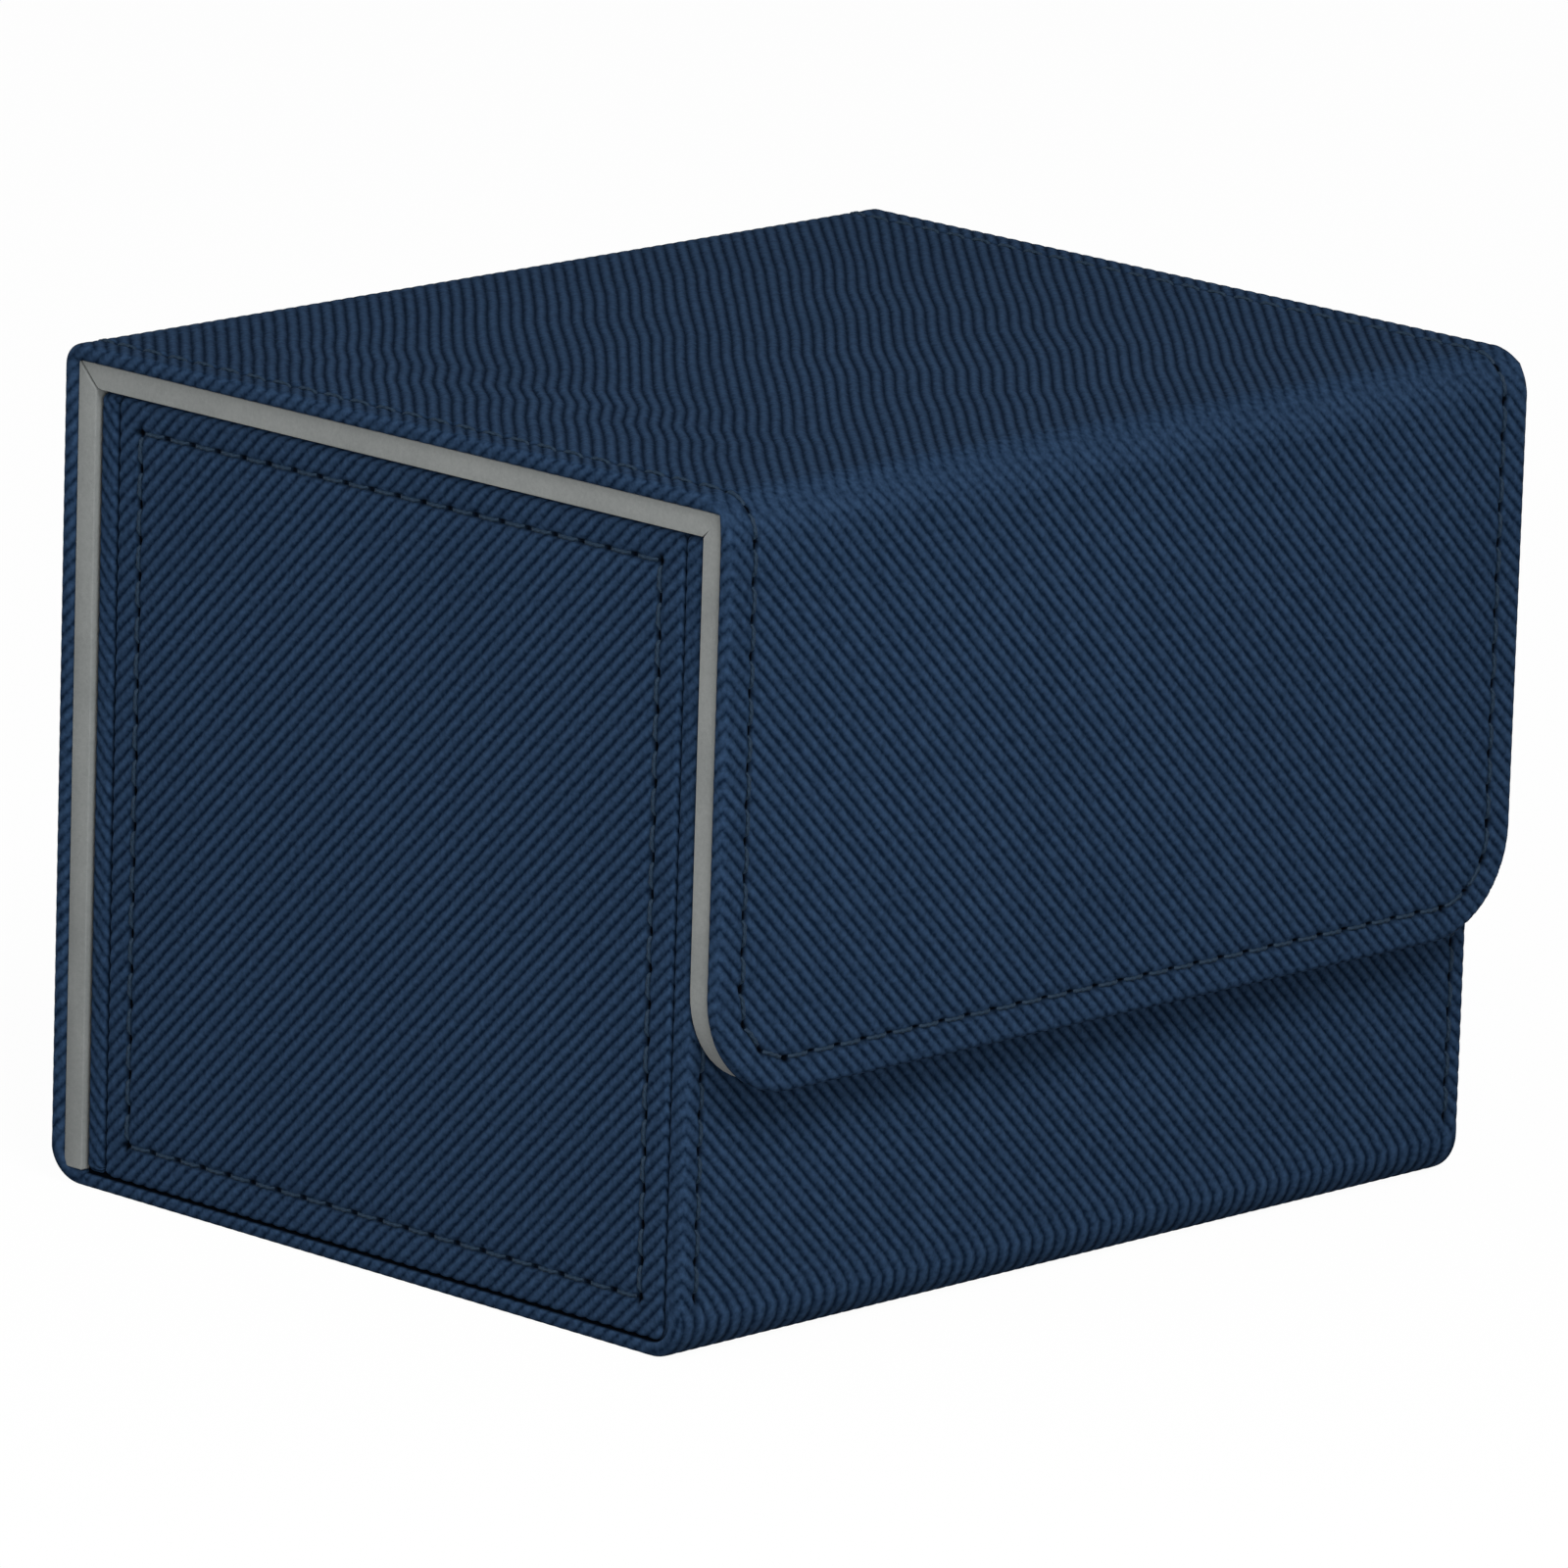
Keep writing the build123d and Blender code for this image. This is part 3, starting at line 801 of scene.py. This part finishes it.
front_rows = rows_from(
    base_first, front_last, ROW_STEP, (*strip_limits["front_foot_leather"], TURN_STEP),
    (front_end - WALL_HEM.outer - HEM_ROW_MARGIN, front_last, HEM_ROW_STEP),
)
front_skin = leather(
    "front_skin", on_strip, half_tray, front_rows, WALL_HEM, strip_lean, RIB_PITCH, high=front_end,
    corner=SMALL_CORNER, seams=("front_stitching",), stitch_lines=(front_stitch,),
    lines=seam_lines, press=foot_fade, sink=base_seam, caps=[(Y, tray_rear)], bridged=True,
)


def panel_rows(low, high, hem, *lines):
    """Rows of a panel that is hemmed below and above, with closer rows at its stitch lines."""
    first = low + hem.outer - hem.length
    last = high - hem.outer + hem.length
    closer = [(first, low + hem.outer, HEM_ROW_STEP), (high - hem.outer, last, HEM_ROW_STEP)]
    for line in lines:
        closer.append((line + GROOVE_LINES[0], line + GROOVE_LINES[-1], GROOVE_ROW_STEP))
    return rows_from(first, last, ROW_STEP, *closer)


# %% End panels and rear wall
def on_left_end(u, v, height):
    return np.stack((-half_tray - height, -u, v), 1)


def on_right_end(u, v, height):
    return on_left_end(u, v, height) * (-1, -1, 1)


def on_tray_rear(u, v, height):
    return np.stack((-u, tray_rear + height, v), 1)


end_skins = {}
for side, on_end in (("left", on_left_end), ("right", on_right_end)):
    low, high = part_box(f"{side}_end_leather")
    node = f"{side}_end_stitching"
    middles = stitches[node][0]
    bottom = low.z - END_OVERLAP
    end_rows = panel_rows(bottom, high.z, END_HEM, middles[:, 2].min(), middles[:, 2].max())
    end_skins[side] = leather(
        f"{side}_end_skin", on_end, high.y, end_rows, END_HEM, end_lean, END_RIB_PITCH, low=bottom,
        high=high.z, corner=SMALL_CORNER, seams=(node,), stitch_lines=(middles[:, 1].max(),),
    )
low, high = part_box("tray_rear_leather")
bottom = low.z - END_OVERLAP
rear_wall_rows = panel_rows(bottom, high.z, WALL_HEM)
tray_rear_skin = leather(
    "tray_rear_skin", on_tray_rear, half_tray, rear_wall_rows, WALL_HEM, end_lean, RIB_PITCH,
    low=bottom, high=high.z, corner=SMALL_CORNER,
)

# %% [markdown]
# One stitch is modelled and copied to every place. It is a small ring extruded in steps and turned a
# little at each one, so that the thread looks twisted, and its two ends dive into the needle holes.

# %% Thread
THREAD_HALF_WIDTH = 0.23 * MM
THREAD_HALF_HEIGHT = 0.15 * MM
THREAD_STEPS = 11
THREAD_TWIST = math.radians(50)
THREAD_SIDES = 6
THREAD_REACH = 1.25 * MM
DIVE_DEPTH = 0.34 * MM
DIVE_START = 0.45


def make_stitch():
    bpy.ops.mesh.primitive_circle_add(
        vertices=THREAD_SIDES, radius=1.0, fill_type="NOTHING", rotation=(0, math.pi / 2, 0),
    )
    stitch = bpy.context.object
    bpy.ops.object.transform_apply(location=False, rotation=True, scale=False)
    stitch.scale = (1, THREAD_HALF_WIDTH, THREAD_HALF_HEIGHT)
    bpy.ops.object.transform_apply(location=False, rotation=False, scale=True)
    mode("EDIT")
    bpy.ops.mesh.select_all(action="SELECT")
    bpy.ops.transform.translate(value=(-THREAD_REACH, 0, 0))
    step = 2 * THREAD_REACH / THREAD_STEPS
    for k in range(THREAD_STEPS):
        x = -THREAD_REACH + (k + 1) * step
        bpy.ops.mesh.extrude_region_move(TRANSFORM_OT_translate={"value": (step, 0, 0)})
        bpy.ops.transform.rotate(value=THREAD_TWIST, orient_axis="X", center_override=(x, 0, 0))
    bpy.ops.mesh.select_all(action="SELECT")
    bpy.ops.mesh.normals_make_consistent(inside=False)
    mode("OBJECT")
    points = get_points(stitch)
    share = np.abs(points[:, 0]) / THREAD_REACH
    points[:, 2] -= DIVE_DEPTH * np.clip((share - DIVE_START) / (1 - DIVE_START), 0, 1) ** 2
    set_points(stitch, points)
    bpy.ops.object.shade_smooth()
    return stitch


stitch = make_stitch()
FACES = {
    "flap": (0, -1, 0),
    "front": (0, -1, 0),
    "lid": (0, 0, 1),
    "rear": (0, 1, 0),
    "left_end": (-1, 0, 0),
    "right_end": (1, 0, 0),
}
THREAD_LEVEL = -0.12 * MM
threads = {}


def copy_stitch():
    copy = stitch.copy()
    copy.data = stitch.data.copy()
    bpy.context.collection.objects.link(copy)
    return copy


def join_thread(seam, copies):
    """Join the stitches of one seam, with their places applied."""
    activate(*copies)
    bpy.ops.object.join()
    bpy.ops.object.transform_apply(location=True, rotation=True, scale=True)
    copies[0].name = f"{seam}_thread"
    threads[seam] = copies[0]


for seam, outward in FACES.items():
    up = Vector(outward)
    surface = max(up.dot(corner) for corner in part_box(f"{seam}_leather"))
    copies = []
    for middle, direction in zip(*stitches[f"{seam}_stitching"]):
        along = Vector(direction).normalized()
        turned = Matrix((along, up.cross(along), up)).transposed().to_4x4()
        lift = surface + THREAD_LEVEL - up.dot(Vector(middle))
        copies.append(copy_stitch())
        copies[-1].matrix_world = Matrix.Translation(Vector(middle) + up * lift) @ turned
    join_thread(seam, copies)
for seam, places in fold_seams.items():
    copies = []
    for u, v in places:
        copies.append(copy_stitch())
        x, y, z = get_points(copies[-1]).T
        set_points(copies[-1], on_strip(u - y, v + x, z + THREAD_LEVEL))
    join_thread(seam, copies)
bpy.data.objects.remove(stitch)
print("threads:", sorted(threads))

# %% [markdown]
# The grey panels are boards wrapped in microfibre. Each starts as a block of the CAD panel's size, and
# a bisect cuts the mitres. A bevel then rounds the edges by their weights: little along the wrapped
# edges, much where the lid meets the rear panel, and nothing where it meets the flap. There the cloth
# runs on, and only a narrow notch opens at the inner corner. The rear panel starts a little higher than
# in the CAD model.

# %% Microfibre panels
WRAP_ROUND = 0.9 * MM
WRAPPED = 0.16
MITRED = 0.2
MITRE_GAP = 0.002 * MM
NOTCH_HALF_WIDTH = 0.17 * MM
NOTCH_DEPTH = 1.0 * MM
PANEL_LIFT = 0.5 * MM
SHARP_ANGLE = math.radians(35)
LEAST_SLANT = 0.5 * MM
LEAST_SPAN = 10 * MM
LEAST_THICKNESS = 1 * MM
TOP_STRETCH = 5 * MM
FLAP_CORNER_SEGMENTS = 14


def block(name, low, high):
    low = Vector(low)
    high = Vector(high)
    bpy.ops.mesh.primitive_cube_add(size=1, location=(low + high) / 2, scale=high - low)
    piece = bpy.context.object
    bpy.ops.object.transform_apply(location=True, rotation=False, scale=True)
    piece.name = name
    piece.data.name = name
    return piece


def mitre(place, normal):
    """Cut off what lies beyond a slanted plane from the newest block, and close the cut."""
    mode("EDIT")
    bisect(place, normal, use_fill=True, clear_outer=True)
    mode("OBJECT")


def open_notch(corner, way):
    """Cut a sliver off the front mitre at its inner corner. way runs along the panel's face."""
    near = corner + NOTCH_HALF_WIDTH * way
    deep = corner + NOTCH_DEPTH * Vector((0, -1, 1)).normalized()
    normal = Vector((1, 0, 0)).cross(deep - near)
    if normal.dot(corner - near) < 0:
        normal.negate()
    mitre(near, normal)


def round_edges(piece, width, segments=3, share=None):
    """Bevel the edges by a width, or by the share of it that share(a, b) gives for an edge."""
    mesh = piece.data
    weights = mesh.attributes.new("bevel_weight_edge", "FLOAT", "EDGE")
    for edge in mesh.edges:
        a, b = (mesh.vertices[i].co for i in edge.vertices)
        weights.data[edge.index].value = share(a, b) if share else 1.0
    rounding = piece.modifiers.new("rounding", "BEVEL")
    rounding.width = width
    rounding.segments = segments
    rounding.limit_method = "WEIGHT"
    activate(piece)
    bpy.ops.object.modifier_apply(modifier=rounding.name)
    bpy.ops.object.shade_smooth_by_angle(angle=SHARP_ANGLE)
    return piece


def slants(a, b):
    return min(abs(a.y - b.y), abs(a.z - b.z)) > LEAST_SLANT


def runs_across(a, b):
    return abs(a.x - b.x) > LEAST_SPAN


linings = {}
low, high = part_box("lid_lining")
lid_face = low.z
flap_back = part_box("flap_lining")[0].y
front_tip = Vector((0, flap_back, high.z))
front_corner = Vector((0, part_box("flap_lining")[1].y, lid_face))
lid_panel = block("lid_panel", (low.x, flap_back, low.z), high)
mitre((0, high.y, high.z), (0, 1, -1))
mitre(front_tip + Vector((0, MITRE_GAP, 0)), (0, -1, -1))
open_notch(front_corner, Vector((0, 1, 0)))


def lid_share(a, b):
    if slants(a, b):
        return MITRED if a.y > 0 else 0.0
    if runs_across(a, b):
        return 1.0 if a.z < lid_face + NEAR and a.y > 0 else 0.0
    return WRAPPED


linings["lid_lining"] = round_edges(lid_panel, WRAP_ROUND, share=lid_share)

low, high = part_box("rear_panel_lining")
rear_panel = block("rear_panel", low + Vector((0, 0, PANEL_LIFT)), high)
mitre((0, high.y, high.z), (0, -1, 1))
linings["rear_panel_lining"] = round_edges(
    rear_panel, WRAP_ROUND, share=lambda a, b: MITRED if slants(a, b) else WRAPPED,
)

low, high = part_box("flap_lining")
flap_panel = block("flap_panel", low, (high.x, high.y, front_tip.z))
mitre(front_tip - Vector((0, 0, MITRE_GAP)), (0, 1, 1))
open_notch(front_corner, Vector((0, 0, -1)))
mode("EDIT")
bpy.ops.mesh.select_mode(type="EDGE")
form = bmesh.from_edit_mesh(flap_panel.data)
for edge in form.edges:
    a, b = (vertex.co for vertex in edge.verts)
    edge.select_set(max(a.z, b.z) < low.z + NEAR and abs(a.x - b.x) < NEAR)
lining_corner = FLAP_CORNER - (half_cover - high.x)
bpy.ops.mesh.bevel(offset=lining_corner, segments=FLAP_CORNER_SEGMENTS, affect="EDGES")
mode("OBJECT")


def flap_share(a, b):
    if slants(a, b) or abs(a.y - b.y) > LEAST_THICKNESS:
        return 0.0
    if runs_across(a, b) and a.z > front_tip.z - TOP_STRETCH:
        return 0.0
    return WRAPPED


linings["flap_lining"] = round_edges(flap_panel, WRAP_ROUND, share=flap_share)

SHEET_ROUND = 0.2 * MM
for node in ("floor_lining", "front_lining", "tray_rear_lining", "left_lining", "right_lining"):
    cloth = block(node.replace("lining", "sheet"), *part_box(node))
    linings[node] = round_edges(cloth, SHEET_ROUND, segments=2)
print("linings:", sorted(linings))

# %% [markdown]
# Finishes are written as sums. A small class wraps a socket of a node tree, so that an expression
# such as 1 - mask adds the Math node for it. Its one other method adds any kind of node, with its
# settings and what goes into its sockets.

# %% Shader sums
class Wire:
    """One output socket of a material, or an empty start, that can be used in sums."""

    def __init__(self, tree, socket=None):
        self.tree = tree
        self.socket = socket

    def node(self, kind, inputs=None, output=0, **settings):
        made = self.tree.nodes.new(kind)
        for key, value in settings.items():
            setattr(made, key, value)
        for key, value in (inputs or {}).items():
            if isinstance(value, Wire):
                self.tree.links.new(value.socket, made.inputs[key])
            else:
                made.inputs[key].default_value = value
        return Wire(self.tree, made.outputs[output])

    def sum(self, operation, first, second):
        return self.node("ShaderNodeMath", {0: first, 1: second}, operation=operation)

    def __add__(self, other):
        return self.sum("ADD", self, other)

    def __sub__(self, other):
        return self.sum("SUBTRACT", self, other)

    def __rsub__(self, other):
        return self.sum("SUBTRACT", other, self)

    def __mul__(self, other):
        return self.sum("MULTIPLY", self, other)

    def __pow__(self, other):
        return self.sum("POWER", self, other)

    __radd__ = __add__
    __rmul__ = __mul__


def srgb(red, green, blue):
    """A colour as it looks on a screen, as the linear numbers that a shader needs."""
    linear = []
    for channel in (red, green, blue):
        share = channel / 255
        linear.append(share / 12.92 if channel < 11 else ((share + 0.055) / 1.055) ** 2.4)
    return (*linear, 1)


MIX_A, MIX_B, MIX_RESULT = 6, 7, 2


def noise(place, scale, detail, roughness=0.5):
    sockets = {"Vector": place, "Scale": scale, "Detail": detail, "Roughness": roughness}
    return place.node("ShaderNodeTexNoise", sockets)


def mix(factor, first, second):
    """Two colours mixed by a factor, which the node keeps between 0 and 1."""
    sockets = {0: factor, MIX_A: first, MIX_B: second}
    return factor.node("ShaderNodeMix", sockets, MIX_RESULT, data_type="RGBA")


def bump(height, strength, distance):
    sockets = {"Strength": strength, "Distance": distance, "Height": height}
    return height.node("ShaderNodeBump", sockets)


def new_finish(name, settings):
    """A material with its plain sockets set, and the coordinates for its textures."""
    material = bpy.data.materials.new(name)
    material.use_nodes = True
    shader = material.node_tree.nodes["Principled BSDF"]
    for key, value in settings.items():
        shader.inputs[key].default_value = value
    return material, Wire(material.node_tree).node("ShaderNodeTexCoord", output="Object")


def feed(material, colour, rough, normal=None):
    """Lead the colour, the roughness and the bumps into the Principled BSDF of a material."""
    shader = material.node_tree.nodes["Principled BSDF"]
    for socket, wire in (("Base Color", colour), ("Roughness", rough), ("Normal", normal)):
        if wire:
            material.node_tree.links.new(wire.socket, shader.inputs[socket])
    return material


# %% [markdown]
# The leather is a matt coated sheet. Its crests are painted a little lighter, a painted highlight, and
# its valleys darker, a painted shade. Small lumps and a fine grain break up the surface, and a slow
# cloud of colour keeps a large panel from looking printed.

# %% Leather finish
def leather_finish():
    material, place = new_finish("navy_leather", {"Specular IOR Level": 0.004, "IOR": 1.45})
    rib = place.node("ShaderNodeAttribute", output="Fac", attribute_name="rib")
    hole = place.node("ShaderNodeAttribute", output="Fac", attribute_name="hole")
    cloud = noise(place, scale=60, detail=3)
    lumps = noise(place, scale=1900, detail=2, roughness=0.6)
    grain = noise(place, scale=6000, detail=2, roughness=0.6)
    # Painted highlight on the crests and painted shade in the valleys, from the rib height; the cloud
    # adds random tone and the lumps shift the colour with their bumps.
    lit_crests_and_tone = rib ** 1.4 * (0.62 + 0.2 * cloud) + 1.1 * (lumps - 0.5)
    ribbed = mix(lit_crests_and_tone, srgb(14, 28, 46), srgb(48, 70, 98))
    # Painted shade: needle holes and the sunk seam over the base are painted near black.
    colour = mix(1.3 * hole, ribbed, srgb(3, 6, 12))
    rough = 0.56 - 0.1 * rib + 0.16 * (grain - 0.5)
    return feed(material, colour, rough, bump(lumps + 0.3 * grain, strength=0.4, distance=0.08 * MM))


# %% Other finishes
def microfibre_finish():
    settings = {"Sheen Weight": 0.15, "Sheen Roughness": 0.5, "Specular IOR Level": 0.15}
    material, place = new_finish("grey_microfibre", settings)
    nap = noise(place, scale=2600, detail=4, roughness=0.7)
    blotch = noise(place, scale=160, detail=3)
    colour = mix(0.55 * nap + 0.45 * blotch, srgb(98, 102, 102), srgb(147, 150, 148))
    return feed(material, colour, 0.86 + 0.12 * nap, bump(nap, strength=0.35, distance=0.12 * MM))


def thread_finish():
    material, place = new_finish("navy_thread", {"Specular IOR Level": 0.1})
    fibre = noise(place, scale=9000, detail=2)
    colour = mix(fibre, srgb(14, 30, 46), srgb(44, 62, 80))
    return feed(material, colour, 0.5 + 0.2 * fibre, bump(fibre, strength=0.4, distance=0.05 * MM))


def board_finish():
    material, place = new_finish("grey_board", {"Specular IOR Level": 0.2})
    pulp = noise(place, scale=900, detail=6, roughness=0.65)
    fleck = place.node("ShaderNodeTexVoronoi", {"Vector": place, "Scale": 700})
    colour = mix(0.8 * pulp + 0.3 * fleck, srgb(58, 62, 66), srgb(94, 98, 102))
    return feed(material, colour, 0.8 + 0.15 * pulp, bump(pulp, strength=0.3, distance=0.1 * MM))


def nickel_finish():
    material, place = new_finish("nickel", {"Metallic": 1.0})
    plating = noise(place, scale=700, detail=5)
    colour = mix(plating, srgb(168, 166, 160), srgb(214, 212, 206))
    return feed(material, colour, 0.22 + 0.2 * plating)


finishes = {
    "navy_leather": leather_finish(),
    "grey_microfibre": microfibre_finish(),
    "navy_thread": thread_finish(),
    "grey_board": board_finish(),
    "nickel": nickel_finish(),
}
print("finishes:", sorted(finishes))

# %% [markdown]
# Every piece is now tied to the frame: it takes its finish and hides the CAD nodes it stands for, and
# most ride on the body that carries them. The two upper folds and their threads are laid in place and
# ride on no body.

# %% Tie the pieces to the frame
def paint(piece, finish):
    piece.data.materials.clear()
    piece.data.materials.append(finishes[finish])


def dress(piece, finish, *nodes):
    paint(piece, finish)
    if nodes:
        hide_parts(*nodes)
    return piece


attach(dress(flap_skin, "navy_leather", "flap_leather"), "flap")
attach(dress(lid_skin, "navy_leather", "lid_leather"), "lid")
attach(dress(rear_skin, "navy_leather", "rear_leather", "rear_foot_leather"), "tray")
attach(dress(front_skin, "navy_leather", "base_leather", "front_foot_leather", "front_leather"), "tray")
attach(dress(tray_rear_skin, "navy_leather", "tray_rear_leather"), "tray")
for side, skin in end_skins.items():
    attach(dress(skin, "navy_leather", f"{side}_end_leather"), "tray")
dress(front_fold_skin, "navy_leather", "front_fold_leather")
low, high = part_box("front_fold_leather")
for piece in (front_fold_skin, dress(threads["front_fold"], "navy_thread")):
    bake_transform(piece)
dress(rear_fold_skin, "navy_leather", "rear_fold_leather")
low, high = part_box("rear_fold_leather")
for piece in (rear_fold_skin, dress(threads["rear_fold"], "navy_thread")):
    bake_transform(piece)
for seam in FACES:
    node = f"{seam}_stitching"
    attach(dress(threads[seam], "navy_thread", node), frame["nodes"][node]["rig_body"])
for node, panel in linings.items():
    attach(dress(panel, "grey_microfibre", node), frame["nodes"][node]["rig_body"])
for node, piece in frame["nodes"].items():
    if not piece.hide_render:
        paint(piece, "nickel" if node.endswith("magnets") else "grey_board")

# %% [markdown]
# The camera stands where the photograph was taken from: to the front left and a little above, far away
# with a long lens, and rolled by a degree or two. The light is soft studio light, and the ground is
# white only to the camera.

# %% Camera
AZIMUTH = math.radians(-45.883)
ELEVATION = math.radians(13.520)
ROLL = math.radians(1.772)
CAMERA_PLACE = (-0.927763, -0.899016, 0.349001)
LENS = 326.64
SENSOR_WIDTH = 36.0
SIGHT = 20
level = math.cos(ELEVATION)
back = Vector((math.sin(AZIMUTH) * level, -math.cos(AZIMUTH) * level, math.sin(ELEVATION)))
right = Vector((math.cos(AZIMUTH), math.sin(AZIMUTH), 0))
up = back.cross(right)
rolled_right = math.cos(ROLL) * right + math.sin(ROLL) * up
rolled_up = back.cross(rolled_right)
camera = bpy.data.objects.new("camera", bpy.data.cameras.new("camera"))
camera.data.sensor_width = SENSOR_WIDTH
camera.data.lens = LENS
camera.data.clip_end = SIGHT
turn = Matrix((rolled_right, rolled_up, back)).transposed().to_4x4()
camera.matrix_world = Matrix.Translation(CAMERA_PLACE) @ turn
bpy.context.collection.objects.link(camera)
scene = bpy.context.scene
scene.camera = camera

# %% Light and floor
LAMPS = (
    ("high_lamp", (-0.28, -0.61, 0.78), 0.45, 6.9),
    ("low_lamp", (-0.32, -0.46, 0.14), 0.3, 1.2),
    ("left_lamp", (-1.0, 0.05, 0.45), 0.7, 3.4),
    ("right_lamp", (1.1, -0.1, 0.25), 0.6, 3.0),
    ("rear_lamp", (-0.3, 1.1, 0.25), 0.6, 3.0),
)
SKY_LIGHT = 0.2
WHITE_SHARE = 0.97
FLOOR_SIZE = 6
FLOOR_TONE = 0.35
SHADED_TONE = 0.9
WHITE = (1, 1, 1, 1)
middle = (cad_box[0] + cad_box[1]) / 2
for name, place, size, power in LAMPS:
    light = bpy.data.lights.new(name, "AREA")
    light.shape = "DISK"
    light.size = size
    light.energy = power
    lamp = bpy.data.objects.new(name, light)
    lamp.location = place
    lamp.rotation_euler = (middle - Vector(place)).to_track_quat("-Z", "Y").to_euler()
    bpy.context.collection.objects.link(lamp)

world = bpy.data.worlds.new("studio")
scene.world = world
world.use_nodes = True
sky = world.node_tree.nodes["Background"]
start = Wire(world.node_tree)
seen = start.node("ShaderNodeLightPath", output="Is Camera Ray")
sky.inputs["Color"].default_value = WHITE
strength = SKY_LIGHT + seen * (1 - SKY_LIGHT)
world.node_tree.links.new(strength.socket, sky.inputs["Strength"])

bpy.ops.mesh.primitive_grid_add(x_subdivisions=2, y_subdivisions=2, size=FLOOR_SIZE)
floor = bpy.context.object
floor.name = "floor"
paper = bpy.data.materials.new("white_paper")
paper.use_nodes = True
floor.data.materials.append(paper)
start = Wire(paper.node_tree)
matt = start.node("ShaderNodeBsdfDiffuse", {"Color": (*(FLOOR_TONE,) * 3, 1)}, "BSDF")
shaded = start.node("ShaderNodeBsdfDiffuse", {"Color": (*(SHADED_TONE,) * 3, 1)}, "BSDF")
glow = start.node("ShaderNodeEmission", {"Color": WHITE, "Strength": 1.0}, "Emission")
ground = start.node("ShaderNodeMixShader", {0: WHITE_SHARE, 1: shaded, 2: glow}, "Shader")
seen = start.node("ShaderNodeLightPath", output="Is Camera Ray")
mixed = start.node("ShaderNodeMixShader", {0: seen, 1: matt, 2: ground}, "Shader")
paper.node_tree.links.new(mixed.socket, paper.node_tree.nodes["Material Output"].inputs["Surface"])
scene.view_settings.view_transform = "Standard"
